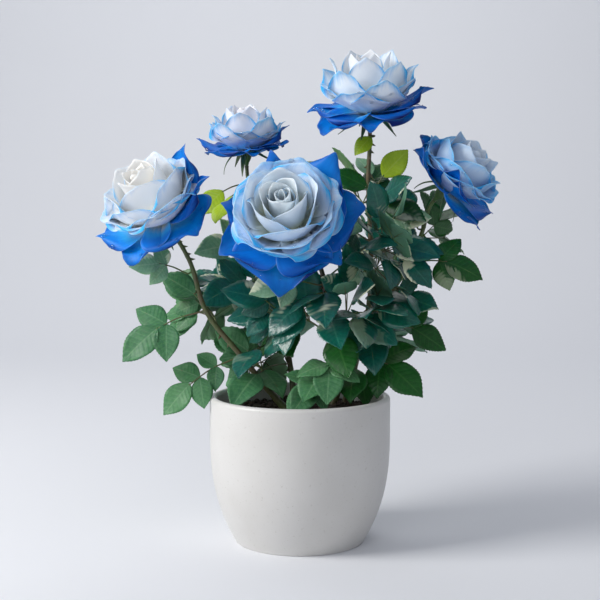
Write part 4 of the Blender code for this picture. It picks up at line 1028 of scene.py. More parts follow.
# %% [markdown]
# ## Foliage
# A rose leaf is a stalk with an end leaflet and one or two pairs beside it. Some leaves spring straight
# from a cane and some stand round short side shoots. The solids were grown by a seeded rule that skipped a
# leaf where it would touch something, so the same rule is run again, and a leaflet is kept only where the
# solid has it. Then each shoot is carried on with further leaves wherever there is still room.

# %% The shoots
FRONT = (0.0, -1.0, 0.45)
FRONT_LEFT = (-0.35, -1.0, 0.40)
FRONT_RIGHT = (0.35, -1.0, 0.40)
# A single leaf: name, its cane, the height where it leaves it, its azimuth (0 to the right, -90 to the
# front) and its rise in degrees, its reach, its pairs of side leaflets, the length of its end leaflet
# and the way its blades face.
SINGLE_LEAVES = (
    ("left_low", "left", 0.166, -165, -36, 0.088, 2, 0.034, FRONT_LEFT),
    ("left_mid", "left", 0.206, -165, -30, 0.088, 1, 0.040, FRONT_LEFT),
    ("left_high", "left", 0.240, -160, 9, 0.055, 1, 0.026, FRONT),
    ("left_inner", "back", 0.225, -140, -10, 0.080, 1, 0.038, FRONT_RIGHT),
    ("left_upper", "back", 0.252, -145, 5, 0.072, 1, 0.036, FRONT),
    ("back_lime", "back", 0.318, -150, -30, 0.060, 0, 0.030, FRONT),
    ("front_left", "front", 0.216, -150, -34, 0.064, 0, 0.038, FRONT_LEFT),
    ("front_curled", "front", 0.230, -160, -4, 0.066, 1, 0.030, FRONT),
    ("low_front_left", "back", 0.152, -120, -14, 0.100, 1, 0.043, FRONT_LEFT),
    ("low_front_mid", "front", 0.146, -125, -24, 0.056, 1, 0.032, FRONT),
    ("low_front_right", "front", 0.168, -95, -38, 0.060, 1, 0.036, FRONT),
    ("low_right", "right", 0.168, -35, -24, 0.080, 1, 0.042, FRONT_RIGHT),
    ("low_right_small", "top", 0.150, -75, -40, 0.044, 0, 0.030, FRONT_RIGHT),
    ("right_mid", "right", 0.198, -14, -20, 0.072, 1, 0.034, FRONT_RIGHT),
    ("right_dark", "right", 0.214, -45, 2, 0.056, 1, 0.034, FRONT_RIGHT),
    ("right_high", "right", 0.250, -22, -10, 0.066, 1, 0.034, FRONT_RIGHT),
    ("right_top", "right", 0.276, 130, 55, 0.048, 0, 0.030, FRONT),
    ("top_lime", "top", 0.311, -15, 50, 0.046, 0, 0.030, FRONT_RIGHT),
    ("top_mid_right", "top", 0.275, -25, 16, 0.054, 1, 0.030, FRONT),
    ("top_mid_left", "top", 0.268, -130, 8, 0.052, 1, 0.028, FRONT),
)
# A branching shoot: name, cane, height, azimuth and rise, then the length of its stem, how many leaves
# grow round it, the pairs of side leaflets on each and the length of an end leaflet.
BRANCHING_SHOOTS = (
    ("top_front", "top", 0.250, -70, 20, 0.030, 4, 1, 0.034),
    ("top_low", "top", 0.200, -80, 25, 0.028, 3, 1, 0.036),
    ("top_back", "top", 0.225, 76, 30, 0.034, 3, 1, 0.036),
    ("top_upper_back", "top", 0.290, 113, 35, 0.028, 3, 1, 0.032),
    ("top_base", "top", 0.160, 45, 30, 0.034, 3, 1, 0.036),
    ("right_front", "right", 0.222, -95, 15, 0.030, 3, 1, 0.034),
    ("right_back", "right", 0.212, 75, 25, 0.034, 3, 1, 0.036),
    ("right_upper_back", "right", 0.258, 70, 30, 0.024, 3, 1, 0.030),
    ("front_right", "front", 0.196, -27, 20, 0.030, 3, 1, 0.036),
    ("front_inner", "front", 0.236, 10, 25, 0.028, 3, 1, 0.032),
    ("front_side", "front", 0.190, 178, 20, 0.034, 3, 1, 0.034),
    ("back_left", "back", 0.200, 170, 20, 0.034, 3, 1, 0.034),
    ("back_rear", "back", 0.215, 80, 25, 0.034, 3, 1, 0.036),
    ("back_upper", "back", 0.270, 20, 30, 0.030, 3, 1, 0.034),
    ("back_base", "back", 0.155, 113, 30, 0.034, 3, 1, 0.036),
    ("left_rear", "left", 0.190, 110, 25, 0.030, 3, 1, 0.032),
    ("left_base", "left", 0.142, 97, 30, 0.030, 3, 1, 0.034),
)
print("shoots:", len(SINGLE_LEAVES), "single leaves and", len(BRANCHING_SHOOTS), "branching ones")

# %% [markdown]
# The rule works with points and directions only. A leaf is laid out on an arched stalk: its end leaflet goes
# on where the stalk ends, and pairs of smaller ones stand beside the stalk. Round a side shoot the leaves
# follow one another by the same spiral turn as the petals do.

# %% The growing rule
BLADE_OUTLINE = ((1.0, 0.0), (0.66, 0.88), (0.24, 0.88), (0.0, 0.0), (0.24, -0.88), (0.66, -0.88))
LEAF_THICKNESS = 0.0006
LEAF_WIDTH = 0.68
LEAF_FOLD = 0.16
LEAF_DROOP = 0.12
LATERAL_ANGLE = 62
LATERAL_SHARES = (0.76, 0.40)
LATERAL_SIZES = (0.86, 0.66)
LEAF_REACH = 0.056
LEAF_SPREAD = 58
END_LEAF_SUNK = 0.0020
SIDE_LEAF_SUNK = 0.0003
STALK_ARCH = 0.10
ARCH_PARTS = 4
STEM_PARTS = 3
LONG_STALK_PARTS = 2
SHORT_STALK_PARTS = 1
COLLAR = 0.003
STALK_SUNK = 0.001               # how far a stalk starts inside its cane
LEAF_TRIES = 7
TRY_TURN = 50.0
LEAFY_SHARE = 0.62
END_LEAF_SPREAD = 0.35
LIGHT_PULL = 0.25
SOURCE_CANE_STEPS = 4
BUSH_MIDDLE = (0.020, 0.015)
OUTWARD_PULL = (0.75, 0.65)      # away from the middle, and up
LIT_PULL = 0.45
TO_THE_LIGHT = Vector((-0.25, -0.65, 0.40))


def from_angles(azimuth, rise):
    """Unit direction from an azimuth and a rise in degrees."""
    azimuth, rise = math.radians(azimuth), math.radians(rise)
    level = math.cos(rise)
    return Vector((math.cos(azimuth) * level, math.sin(azimuth) * level, math.sin(rise)))


def arch(root, direction, reach, parts):
    """Points of a stalk that rises over the straight line to its tip."""
    tip = root + direction * reach
    middle = (root + tip) / 2.0 + Vector((0.0, 0.0, 2.0 * STALK_ARCH * reach))
    shares = [index / parts for index in range(parts + 1)]
    return [root * (1 - s) ** 2 + middle * 2 * s * (1 - s) + tip * s * s for s in shares]


def point_on(points, share):
    """Point and direction at a share of a path's length."""
    spot = share * (len(points) - 1)
    index = min(int(spot), len(points) - 2)
    step = points[index + 1] - points[index]
    return points[index] + step * (spot - index), step.normalized()


def leaf_layout(root, direction, reach, pairs, leaflet, face, parts):
    """A compound leaf: its stalk's points, and root, direction, normal and length of each leaflet."""
    path = arch(root, direction, reach, ARCH_PARTS)
    end_share = 1.0 - leaflet / reach
    stalk = [point_on(path, end_share * index / parts)[0] for index in range(parts + 1)]
    heading = (path[-1] - stalk[-1]).normalized()
    normal, _ = square_frame(heading, face)
    leaflets = [(stalk[-1] - heading * END_LEAF_SUNK, heading, normal, leaflet + END_LEAF_SUNK)]
    for share, size in zip(LATERAL_SHARES[:pairs], LATERAL_SIZES):
        spot, along = point_on(stalk, share)
        normal, _ = square_frame(along, face)
        for side in (-1.0, 1.0):
            heading = Matrix.Rotation(math.radians(side * LATERAL_ANGLE), 3, normal) @ along
            leaflets.append((spot - heading * SIDE_LEAF_SUNK, heading, normal, leaflet * size))
    return stalk, leaflets


def leave_cane(key, height, direction):
    """Start of a shoot on its cane's side and the way square to the cane there."""
    points = cane_points(key, SOURCE_CANE_STEPS)
    for index, (low, high) in enumerate(zip(points, points[1:])):
        if low.z <= height <= high.z:
            share = (height - low.z) / (high.z - low.z)
            whole = (index + share) / (len(points) - 1)
            outward, _ = square_frame((high - low).normalized(), direction)
            return low.lerp(high, share) + outward * (cane_taper(whole) + GAP), outward
    raise ValueError(key)


def outward_face(point):
    """The way leaves face where nothing sets it: away from the bush's middle and up."""
    away = Vector((point.x - BUSH_MIDDLE[0], point.y - BUSH_MIDDLE[1], 0.0)).normalized()
    return away * OUTWARD_PULL[0] + UP * OUTWARD_PULL[1]


def blade_point(leaflet, along, across, swell=0.0):
    """A point of the plain blade that the solids have."""
    root, direction, normal, length = leaflet
    half_width = length * LEAF_WIDTH / 2.0 + swell
    reach = along * (length + 2.0 * swell) - swell
    lift = LEAF_FOLD * abs(across) * half_width - LEAF_DROOP * along ** 2 * length
    return root + direction * reach + normal.cross(direction) * across * half_width + normal * lift


def lit_face(point):
    """The way the added leaves face: towards the light in front as well as outwards."""
    return outward_face(point) * LIT_PULL + TO_THE_LIGHT


def leaf_try(name, stem, clock, index, attempt, leaves, pairs, leaflet, face_at=outward_face):
    """Layout of one leaf round a stem, at one of its tries."""
    share = 1.0 - LEAFY_SHARE * index / (leaves - 1)
    spot, along = point_on(stem, share)
    draw = random.Random(f"{name} {index} {attempt}")
    turn = math.radians(clock + SPIRAL_TURN * index + TRY_TURN * attempt)
    side, other = square_frame(along, UP)
    spread = math.radians(LEAF_SPREAD * draw.uniform(0.7, 1.2))
    if index == 0:
        spread *= END_LEAF_SPREAD
    sideways = side * math.cos(turn) + other * math.sin(turn)
    heading = along * math.cos(spread) + sideways * math.sin(spread)
    heading = (heading + outward_face(spot) * LIGHT_PULL).normalized()
    reach = LEAF_REACH * draw.uniform(0.85, 1.1)
    size = leaflet * draw.uniform(0.85, 1.1)
    return leaf_layout(spot, heading, reach, pairs, size, face_at(spot), SHORT_STALK_PARTS)


print("rule for", len(LATERAL_SHARES), "pairs of side leaflets at most")

# %% [markdown]
# Each solid of foliage is a few plain blades on their stalks. A blade's outer corners lie on the surface of
# its own solid, so a search tree of each solid tells which of the rule's leaflets it holds.

# %% Growing where the solids grew
SAME_PLACE = 0.0002              # a corner this near a solid's surface is that solid's own
CORNERS_NEEDED = 3


def tree_of_node(name):
    """Search tree of a solid's surface."""
    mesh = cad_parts[name].data
    corners = [vertex.co.copy() for vertex in mesh.vertices]
    return BVHTree.FromPolygons(corners, [tuple(face.vertices) for face in mesh.polygons])


TREES = {name: tree_of_node(name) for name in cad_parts}


def in_solid(leaflet, tree):
    """Whether a solid has this leaflet: most of the blade's outer corners lie on its surface."""
    corners = [blade_point(leaflet, along, across) for along, across in BLADE_OUTLINE if along > 0.0]
    near = [tree.find_nearest(corner, SAME_PLACE)[0] is not None for corner in corners]
    return sum(near) >= CORNERS_NEEDED


def grow_single(row):
    """Stalks and leaflets of a leaf that grows straight from its cane."""
    name, cane, height, azimuth, rise, reach, pairs, leaflet, face = row
    direction = from_angles(azimuth, rise)
    start, outward = leave_cane(cane, height, direction)
    stalk, leaflets = leaf_layout(start + outward * COLLAR, direction, reach - COLLAR, pairs, leaflet,
                                  Vector(face), LONG_STALK_PARTS)
    tree = TREES["leaf_" + name]
    kept = [part for part in leaflets if in_solid(part, tree)]
    return [[start - outward * STALK_SUNK, start] + stalk], kept


def grow_branching(row):
    """Stalks and leaflets of a side shoot: each leaf at the try where the solid has it."""
    name, cane, height, azimuth, rise, length, leaves, pairs, leaflet = row
    direction = from_angles(azimuth, rise)
    start, outward = leave_cane(cane, height, direction)
    stem = arch(start + outward * COLLAR, direction, length, STEM_PARTS)
    tree = TREES["shoot_" + name]
    clock = random.Random(name).uniform(0.0, 360.0)
    stalks = [[start - outward * STALK_SUNK, start] + stem]
    grown = []
    for index in range(leaves):
        for attempt in range(LEAF_TRIES):
            stalk, leaflets = leaf_try(name, stem, clock, index, attempt, leaves, pairs, leaflet)
            if in_solid(leaflets[0], tree):
                stalks.append(stalk)
                grown += [part for part in leaflets if in_solid(part, tree)]
                break
    return stalks, grown, stem, clock


foliage = {"leaf_" + row[0]: grow_single(row) for row in SINGLE_LEAVES}
stems = {}
for row in BRANCHING_SHOOTS:
    stalks, leaflets, stem, clock = grow_branching(row)
    foliage["shoot_" + row[0]] = (stalks, leaflets)
    stems[row] = (stem, clock)
print("leaflets that the solids have:", sum(len(leaflets) for _, leaflets in foliage.values()))
print({name: len(leaflets) for name, (_, leaflets) in foliage.items()})

# %% [markdown]
# The solids hold as few leaves as show the crown's shape, so two kinds of leaves are added, each only where
# its blade and stalk clear every solid and every new leaf. A few are led: they spring from a cane at a set
# height and their tips come near a set place. The others go round each side shoot by the rule as before.

# %% Carrying the shoots on
EXTRA_LEAVES = 10
SPARE_SHOOTS = {"right_upper_back": 0, "right_back": 2, "right_front": 2, "top_upper_back": 4}
EXTRA_SIZE = (1.22, 0.95)        # of a leaf with an end leaflet alone, and of one with side leaflets
CLEARANCE = 0.0008
OWN_ROOT = 0.006                 # a stalk's first stretch is inside its own shoot
BOX_MARGIN = 0.002
BLADE_PEAK = 0.48                # where a plain blade is thickest, along it


def blade_tree(leaflet, swell):
    """Search tree of a plain blade, swollen for a clearance test."""
    rim = [blade_point(leaflet, along, across, swell) for along, across in BLADE_OUTLINE]
    lift = leaflet[2] * (LEAF_THICKNESS / 2.0 + swell)
    middle = blade_point(leaflet, BLADE_PEAK, 0.0)
    faces = [(index, (index + 1) % 6, peak) for index in range(6) for peak in (6, 7)]
    return BVHTree.FromPolygons(rim + [middle + lift, middle - lift], faces)


def stalk_is_free(stalk, trees):
    """Whether a stalk passes clear of everything, past its own root."""
    for start, end in zip(stalk, stalk[1:]):
        way = end - start
        begin = start + way.normalized() * OWN_ROOT
        if any(tree.ray_cast(begin, way, way.length)[0] is not None for tree in trees):
            return False
    return True


def within_reach(leaflet):
    """Whether a leaflet stays inside the model's own box."""
    tip = blade_point(leaflet, 1.0, 0.0)
    return all(low + BOX_MARGIN < value < high - BOX_MARGIN
               for low, value, high in zip(cad_low, tip, cad_high))


FURTHER_LEAVES = (               # name, finish, cane, height on it, where its tip is, pairs, end leaflet
    ("mid_left", "teal", "back", 0.168, (-0.056, -0.036, 0.154), 0, 0.038),
    ("centre", "mid_green", "front", 0.158, (0.002, -0.062, 0.138), 1, 0.038),
    ("over_soil", "mid_green", "front", 0.145, (-0.010, -0.046, 0.124), 0, 0.032),
    ("low_right", "deep_green", "top", 0.160, (0.041, -0.054, 0.134), 0, 0.036),
    ("big_dark", "teal", "front", 0.232, (0.026, -0.064, 0.205), 1, 0.042),
    ("big_teal", "teal", "front", 0.205, (0.030, -0.066, 0.186), 0, 0.040),
    ("teal_below", "teal", "top", 0.198, (0.046, -0.050, 0.176), 0, 0.044),
    ("teal_right", "teal", "right", 0.225, (0.082, -0.038, 0.206), 0, 0.044),
    ("cream_left", "pale_green", "top", 0.280, (0.040, -0.026, 0.268), 0, 0.028),
    ("upper_broad", "deep_green", "top", 0.292, (0.104, -0.020, 0.284), 0, 0.038),
    ("upper_half", "teal", "top", 0.300, (0.090, -0.014, 0.308), 0, 0.036),
    ("upper_left", "deep_green", "top", 0.304, (0.042, 0.000, 0.320), 0, 0.032),
    ("pale_round", "pale_green", "top", 0.318, (0.056, 0.014, 0.336), 0, 0.022),
    # stem_lime and lime_second wear the lime finish, whose colour is painted light shining through the leaf
    # from behind.
    ("stem_lime", "lime", "top", 0.357, (0.052, -0.010, 0.348), 0, 0.020),
    ("lime_second", "lime", "back", 0.312, (-0.079, 0.030, 0.284), 0, 0.036),
    ("inner_left", "teal", "front", 0.222, (-0.032, -0.046, 0.190), 0, 0.040),
    ("behind_bloom", "teal", "back", 0.230, (-0.040, -0.020, 0.222), 0, 0.042),
    ("gap_middle", "deep_green", "front", 0.190, (0.038, -0.044, 0.166), 0, 0.042),
    ("gap_left", "deep_green", "back", 0.190, (-0.010, -0.020, 0.172), 1, 0.038),
    ("gap_right", "teal", "right", 0.190, (0.066, -0.040, 0.160), 0, 0.040),
)
TIP_TRIES = 60
TIP_SHIFT = 0.009
SHORTEST_REACH = 1.3             # of a led leaf, in lengths of its end leaflet


def grow_to(row, trees):
    """Stalk and leaflets of a leaf whose tip comes near a place, at its first try that is clear of all."""
    name, _, cane, height, tip, pairs, leaflet = row
    draw = random.Random("further " + name)
    for attempt in range(TIP_TRIES):
        shift = TIP_SHIFT * (0.3 + attempt / TIP_TRIES)
        aim = Vector(tip) + Vector([draw.uniform(-shift, shift) for _ in range(3)])
        from_cane = aim - Vector((0.03, 0.01, height))
        start, outward = leave_cane(cane, height + draw.uniform(-shift, shift), from_cane)
        start = start + outward * COLLAR
        way = aim - start
        reach = max(way.length, leaflet * SHORTEST_REACH)
        stalk, parts = leaf_layout(start, way.normalized(), reach, pairs, leaflet, lit_face(aim),
                                   LONG_STALK_PARTS)
        clear = [part for part in parts
                 if not any(blade_tree(part, CLEARANCE).overlap(tree) for tree in trees)]
        if clear and clear[0] == parts[0] and stalk_is_free(stalk, trees):
            root = start - outward * (COLLAR + STALK_SUNK)
            return [[root, start] + stalk[1:]], clear
    return [], []


placed = dict(TREES)
further = {}
for row in FURTHER_LEAVES:
    stalks, leaflets = grow_to(row, placed.values())
    further[row[0]] = (row[1], stalks, leaflets)
    for number, part in enumerate(leaflets):
        placed[f"{row[0]} {number}"] = blade_tree(part, 0.0)
print("led leaves:", {name: len(leaflets) for name, (_, _, leaflets) in further.items()})

extra = 0
for row, (stem, clock) in stems.items():
    name, _, _, _, _, _, leaves, _, leaflet = row
    stalks, leaflets = foliage["shoot_" + name]
    for index in range(leaves, leaves + SPARE_SHOOTS.get(name, EXTRA_LEAVES)):
        sides = index % 2
        for attempt in range(LEAF_TRIES):
            stalk, parts = leaf_try(name, stem, clock, index % leaves, attempt + LEAF_TRIES * index, leaves,
                                    sides, leaflet * EXTRA_SIZE[sides], lit_face)
            kept = []
            for part in parts:
                test = blade_tree(part, CLEARANCE)
                if within_reach(part) and not any(test.overlap(tree) for tree in placed.values()):
                    kept.append(part)
            if not kept or kept[0] != parts[0] or not stalk_is_free(stalk, placed.values()):
                continue
            stalks.append(stalk)
            leaflets += kept
            for number, part in enumerate(kept):
                placed[f"{name} {index} {number}"] = blade_tree(part, 0.0)
            extra += len(kept)
            break
print("further leaflets:", extra)

# %% [markdown]
# Leaves differ by their place: matt mid green at the left, dark teal and glossy in the middle, deep green
# at the right, and a bright lime on a few that is painted light shining through them from behind. Each of
# these finishes is one joined piece. A leaflet is a grid drawn to a pointed oval: its edge rows step in and
# out as teeth, its halves rise from the midrib, and its side veins press gentle furrows. The veins' colour
# and bump come from one shader group, and so do pale cream patches on the higher leaves: painted highlights
# that stand for the lamp's reflection on their gloss.

# %% Shader group: leaf veins and painted highlights
VEINS = 9.0
VEIN_SLANT = 0.16                # how far a vein climbs on its way to the edge, along the leaflet
# cream colour of the painted highlights on the leaves, standing for the lamp's reflection on their gloss
PAINTED_HIGHLIGHT_CREAM = (0.84, 0.88, 0.62)
veins, veins_in, veins_out = new_group(
    "leaf_veins",
    (("Map", "Vector"), ("Place", "Vector"), ("Tone", "Float"), ("Blade", "Color"), ("Vein", "Color"),
     ("Shade", "Color"), ("Gleam", "Float")),
    (("Colour", "Color"), ("Height", "Float")))
leaf_split = add_node(veins, "SeparateXYZ", None, Vector=veins_in["Map"])
across_leaf = maths(veins, "SUBTRACT", maths(veins, "MULTIPLY", leaf_split.outputs[0], 2.0), 1.0)
leaf_edge = maths(veins, "ABSOLUTE", across_leaf)
slanted = maths(veins, "SUBTRACT", leaf_split.outputs[1], maths(veins, "MULTIPLY", leaf_edge, VEIN_SLANT))
phase_in_vein = maths(veins, "FRACT", maths(veins, "MULTIPLY", slanted, VEINS))
from_line = maths(veins, "ABSOLUTE", maths(veins, "SUBTRACT", phase_in_vein, 0.5))
lateral = eased(veins, from_line, 0.0, 0.09, 1.0, 0.0)
lateral = maths(veins, "MULTIPLY", lateral, eased(veins, leaf_edge, 0.55, 0.95, 1.0, 0.15))
midrib = eased(veins, leaf_edge, 0.02, 0.09, 1.0, 0.0)
vein_mask = maths(veins, "MAXIMUM", midrib, maths(veins, "MULTIPLY", lateral, 0.6))
leaf_mottle = grainy(veins, veins_in["Map"], 9.0, 5.0, 0.6)
shade_share = maths(veins, "ADD", maths(veins, "MULTIPLY", eased(veins, leaf_mottle, 0.35, 0.65), 0.45),
                    maths(veins, "MULTIPLY", veins_in["Tone"], 0.55))
toned = mixed(veins, shade_share, veins_in["Blade"], veins_in["Shade"])
veined = mixed(veins, maths(veins, "MULTIPLY", vein_mask, 0.24), toned, veins_in["Vein"])
swollen = maths(veins, "SINE", maths(veins, "MULTIPLY", phase_in_vein, math.pi))
puffed = maths(veins, "MULTIPLY", swollen, -0.8)
# Painted highlight: cream patches from a coarse noise, more on one half of each blade and on the swellings
# between veins, and only on the higher leaves, where the lamp's reflection falls.
light_field = grainy(veins, veins_in["Place"], 42.0, 1.0)
light_field = maths(veins, "ADD", light_field, maths(veins, "MULTIPLY", across_leaf, 0.10))
light_field = maths(veins, "SUBTRACT", light_field, maths(veins, "MULTIPLY", puffed, 0.05))
height_split = add_node(veins, "SeparateXYZ", None, Vector=veins_in["Place"])
raised = eased(veins, height_split.outputs[2], 0.185, 0.235, 0.15, 1.0)
painted_highlight_mask = maths(veins, "MULTIPLY", eased(veins, light_field, 0.64, 0.72),
                   maths(veins, "MULTIPLY", raised, veins_in["Gleam"]))
with_painted_highlight = mixed(veins, painted_highlight_mask, veined, PAINTED_HIGHLIGHT_CREAM)
veins.links.new(with_painted_highlight, veins_out["Colour"])
leaf_height = maths(veins, "ADD", puffed, maths(veins, "MULTIPLY", leaf_mottle, 0.5))
veins.links.new(leaf_height, veins_out["Height"])


def leaf_material(name, blade, vein, shade, roughness, coat, painted_highlight):
    """One side of a leaf finish."""
    material, tree, shader = new_material(name, Roughness=roughness)
    shader.inputs["Specular IOR Level"].default_value = 0.35
    shader.inputs["Coat Weight"].default_value = coat
    shader.inputs["Coat Roughness"].default_value = 0.22
    shader.inputs["Subsurface Weight"].default_value = 0.12
    shader.inputs["Subsurface Radius"].default_value = (0.5, 1.0, 0.3)
    shader.inputs["Subsurface Scale"].default_value = 0.002
    leaf_map = tree.nodes.new("ShaderNodeUVMap").outputs[0]
    tone = add_node(tree, "Attribute", {"attribute_name": "leaf_tone"}).outputs["Fac"]
    outputs = use_group(tree, veins, Map=leaf_map, Place=object_coordinates(tree), Tone=tone,
                        Blade=(*blade, 1.0), Vein=(*vein, 1.0), Shade=(*shade, 1.0), Gleam=painted_highlight)
    coloured_and_bumped(tree, shader, outputs, 0.3, 0.0004)
    return material


print("group", veins.name)

# %% [markdown]
# A leaf's upper side is mostly darker and glossier than its underside, so each finish has two materials,
# and the thickness gives the second one to the faces below. Each leaflet has a random tone, as no two
# leaves of a bush are quite the same green.

# %% Leaf finishes
LEAF_LOOKS = {                   # top, its veins, its darker leaves, underside, roughness, coat, painted highlight
    "mid_green": ((0.078, 0.235, 0.090), (0.26, 0.44, 0.24), (0.030, 0.130, 0.056), (0.20, 0.36, 0.20),
                  0.50, 0.05, 0.15),
    "pale_green": ((0.260, 0.440, 0.280), (0.56, 0.66, 0.46), (0.140, 0.310, 0.180), (0.34, 0.46, 0.32),
                   0.45, 0.10, 0.80),
    "teal": ((0.004, 0.135, 0.098), (0.08, 0.28, 0.19), (0.002, 0.070, 0.056), (0.10, 0.24, 0.15),
             0.32, 0.45, 0.85),
    "deep_green": ((0.010, 0.110, 0.014), (0.09, 0.25, 0.06), (0.004, 0.055, 0.009), (0.10, 0.21, 0.08),
                   0.40, 0.15, 0.25),
    # lime: its bright yellow green is painted light, standing for light shining through these leaves from
    # behind
    "lime": ((0.400, 0.540, 0.014), (0.55, 0.64, 0.14), (0.280, 0.440, 0.012), (0.42, 0.52, 0.05),
             0.45, 0.05, 0.10),
}
LEAF_PLACES = {                  # every other mass is teal
    "mid_green": ("leaf_left_low", "leaf_left_mid", "shoot_left_base", "shoot_left_rear",
                  "leaf_low_front_left", "leaf_low_front_mid", "leaf_low_front_right"),
    "pale_green": ("leaf_left_high", "leaf_front_curled", "leaf_top_mid_right", "leaf_left_upper"),
    "deep_green": ("leaf_right_mid", "leaf_right_high", "leaf_low_right", "leaf_low_right_small",
                   "shoot_right_back", "shoot_right_upper_back", "shoot_top_upper_back", "shoot_back_rear"),
    # the lime finish paints the light shining through these leaves from behind
    "lime": ("leaf_back_lime", "leaf_top_lime"),
}
DETAILED = (10, 34)              # columns and rows of a leaflet on a single leaf
PLAIN = (6, 16)                  # and of one on a branching shoot
LEAF_SHELL = 0.00034
TOOTH = 0.038                    # of the half width
TOOTH_SHIFT = 0.35               # of a row, towards the tip
BROADEST = 0.42
VEIN_FURROW = 0.005              # of the length
UNDERSIDE_ROUGHNESS = 0.6
UNDERSIDE_PAINTED_HIGHLIGHT = 0.2            # of the upper side's


def leaf_outline(share):
    """Half width of a leaflet as a share of its greatest."""
    if share < BROADEST:
        return math.sin(math.pi / 2.0 * share / BROADEST) ** 0.72
    onward = (share - BROADEST) / (1.0 - BROADEST)
    return (1.0 - onward ** 2.2) * (1.0 - 0.22 * onward ** 2)


def add_leaflet(bm, leaflet, grid, tones, draw):
    """One toothed, folded, slightly wavy leaflet."""
    root, direction, normal, length = leaflet
    columns, rows = grid
    side = normal.cross(direction)
    half_width = length * LEAF_WIDTH / 2.0
    curl = draw.uniform(-0.03, 0.10)
    ripple = draw.uniform(0.010, 0.028) * length
    phase = draw.uniform(0.0, 2.0 * math.pi)
    cup = draw.uniform(-0.5, 1.3)
    tone = draw.random()

    def leaf_point(across, along):
        """Where a vertex lies; teeth are every second row of the two edges."""
        edge = 1.0 - 2.0 * across
        width = half_width * leaf_outline(along)
        if abs(edge) > 0.99 and round(along * rows) % 2:
            width *= 1.0 + TOOTH
            along += TOOTH_SHIFT / rows
        lift = LEAF_FOLD * cup * abs(edge) ** 1.3 * width - LEAF_DROOP * along ** 2 * length
        lift += ripple * math.sin(along * 11.0 + phase + (2.0 if edge > 0.0 else 0.0)) * abs(edge) ** 1.6
        furrow = math.cos(2.0 * math.pi * VEINS * (along - VEIN_SLANT * abs(edge)))
        lift += VEIN_FURROW * length * furrow * abs(edge)
        lift -= curl * along ** 4 * length
        return root + direction * along * length + side * edge * width + normal * lift

    verts = placed_grid(bm, columns, rows, leaf_point)
    for vertex in verts:
        vertex[tones] = tone
    bmesh.ops.remove_doubles(bm, verts=verts, dist=0.00003)


def finish_of(node):
    """Name of the leaf finish of a mass."""
    return next((name for name, nodes in LEAF_PLACES.items() if node in nodes), "teal")


for finish, (top, vein, shade, under, roughness, coat, painted_highlight) in LEAF_LOOKS.items():
    nodes = [node for node in foliage if finish_of(node) == finish]
    led = [name for name, (look, _, _) in further.items() if look == finish]
    leaf_bm = bmesh.new()
    leaf_bm.loops.layers.uv.new("leaf_map")
    tones = leaf_bm.verts.layers.float.new("leaf_tone")
    for node in nodes:
        draw = random.Random("leaflets " + node)
        for leaflet in foliage[node][1]:
            add_leaflet(leaf_bm, leaflet, DETAILED if node.startswith("leaf_") else PLAIN, tones, draw)
    for name in led:
        draw = random.Random("leaflets " + name)
        for leaflet in further[name][2]:
            add_leaflet(leaf_bm, leaflet, DETAILED, tones, draw)
    top_side = leaf_material(f"leaf_{finish}_top", top, vein, shade, roughness, coat, painted_highlight)
    under_side = leaf_material(f"leaf_{finish}_underside", under, vein, under, UNDERSIDE_ROUGHNESS, 0.0,
                               UNDERSIDE_PAINTED_HIGHLIGHT * painted_highlight)
    piece = finished("leaflets_" + finish, leaf_bm, [top_side, under_side], nodes)
    thicken(piece, LEAF_SHELL, underside=1)

# %% [markdown]
# ## Twigs and leaf stalks
# Stems and stalks are thin tubes along the same paths as the solids' twigs, with more sides and smooth
# bends. A short midrib runs under each leaflet from the stalk, so no leaf hangs by a bare point.

# %% Twigs
TWIG_RADIUS = 0.00095
TWIG_TIP_RADIUS = 0.00055
STALK_RADIUS = 0.00062
STALK_TIP_RADIUS = 0.00042
TWIG_SIDES = 8
TWIG_STEPS = 4                   # to each stretch between two points of its path
MIDRIB_SHARE = 0.70
MIDRIB_STEPS = 4
MIDRIB_RADIUS = 0.00045
MIDRIB_TIP_RADIUS = 0.00012
MIDRIB_BELOW = 0.00025


def softened(points, parts):
    """A path with its corners rounded, through the same points."""
    if len(points) < 3:
        return [points[0].lerp(points[-1], index / parts) for index in range(parts + 1)]
    return smooth_path(points, points[1] - points[0], points[-1] - points[-2], parts)


def add_twig(bm, points, start_radius, end_radius, parts):
    """One tapering twig."""
    add_tube(bm, softened(points, parts), TWIG_SIDES, UP,
             lambda share, angle: start_radius + (end_radius - start_radius) * share)


twig_bm = bmesh.new()
grown_parts = [*foliage.values(), *((stalks, leaflets) for _, stalks, leaflets in further.values())]
for stalks, leaflets in grown_parts:
    for index, stalk in enumerate(stalks):
        if index == 0:
            add_twig(twig_bm, stalk, TWIG_RADIUS, TWIG_TIP_RADIUS, TWIG_STEPS)
        else:
            add_twig(twig_bm, stalk, STALK_RADIUS, STALK_TIP_RADIUS, TWIG_STEPS)
    for leaflet in leaflets:
        below = leaflet[2] * MIDRIB_BELOW
        midrib = [blade_point(leaflet, MIDRIB_SHARE * step / MIDRIB_STEPS, 0.0) - below
                  for step in range(MIDRIB_STEPS + 1)]
        add_twig(twig_bm, midrib, MIDRIB_RADIUS, MIDRIB_TIP_RADIUS, 1)
bmesh.ops.recalc_face_normals(twig_bm, faces=twig_bm.faces)
twig_material, twig_tree, twig_shader = new_material("twig_green", Roughness=0.5)
twig_finish = use_group(twig_tree, bark_group, Vector=object_coordinates(twig_tree),
                        Green=(0.085, 0.150, 0.040, 1.0), Brown=(0.120, 0.090, 0.045, 1.0))
coloured(twig_tree, twig_shader, twig_finish)
finished("twigs", twig_bm, [twig_material])

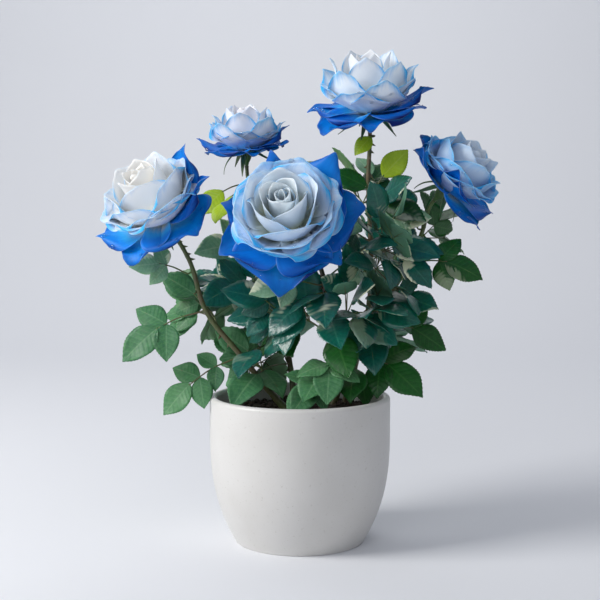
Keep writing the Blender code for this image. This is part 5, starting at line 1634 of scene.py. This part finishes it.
# %% [markdown]
# ## Dew
# Drops of water sit on the outer petals. A drop is a flattened ball of clear water, sunk a little in the
# surface under it. Small ones are many and large ones are few.

# %% Dew
DROPS_PER_BLOOM = 110
DROP_SIZES = (0.0005, 0.0023)
DROP_FLATTENING = 0.45
DROP_RISE = 0.2                  # of its middle over the petal, in its own radii
DEWY_AGE = 0.6                   # petals older than this bear drops
PROBE = 0.02                     # of the petal's map, for the surface's slope under a drop

water, water_tree, water_shader = new_material("dew", Roughness=0.03, IOR=1.33)
water_shader.inputs["Transmission Weight"].default_value = 1.0
ripple_noise = grainy(water_tree, object_coordinates(water_tree), 900.0, 1.0)
water_tint = mixed(water_tree, ripple_noise, (0.96, 0.98, 1.0), (1.0, 1.0, 1.0))
water_tree.links.new(water_tint, water_shader.inputs["Base Color"])

dew_bm = bmesh.new()
for key in BLOOMS:
    draw = random.Random("dew " + key)
    place = bloom_placer(key)
    old_petals = [petal for petal in petals_of(key) if petal["age"] > DEWY_AGE]
    for _ in range(DROPS_PER_BLOOM):
        petal = draw.choice(old_petals)
        across, along = draw.uniform(-0.8, 0.8), draw.uniform(0.55, 0.97)
        beside, onward = np.array((across, across + PROBE)), np.array((along, along + PROBE))
        corners = place(petal_surface(petal, beside, onward))
        spot = Vector(corners[0][0])
        normal = (Vector(corners[0][1]) - spot).cross(Vector(corners[1][0]) - spot).normalized()
        if normal.dot(Vector(SEATS[key][1])) < 0.0:
            normal.negate()
        size = DROP_SIZES[0] + (DROP_SIZES[1] - DROP_SIZES[0]) * draw.random() ** 1.8
        ball = bmesh.ops.create_icosphere(dew_bm, subdivisions=2, radius=size)
        for vertex in ball["verts"]:
            flattened = vertex.co - normal * vertex.co.dot(normal) * DROP_FLATTENING
            vertex.co = flattened + spot + normal * (PETAL_THICKNESS / 2.0 + size * DROP_RISE)
finished("dew_drops", dew_bm, [water])

# %% [markdown]
# ## Sizes
# The box of the imported solids is printed, as the finished model keeps the imported model's size.

print("box of the solids", [round(value, 4) for value in (*cad_low, *cad_high)])
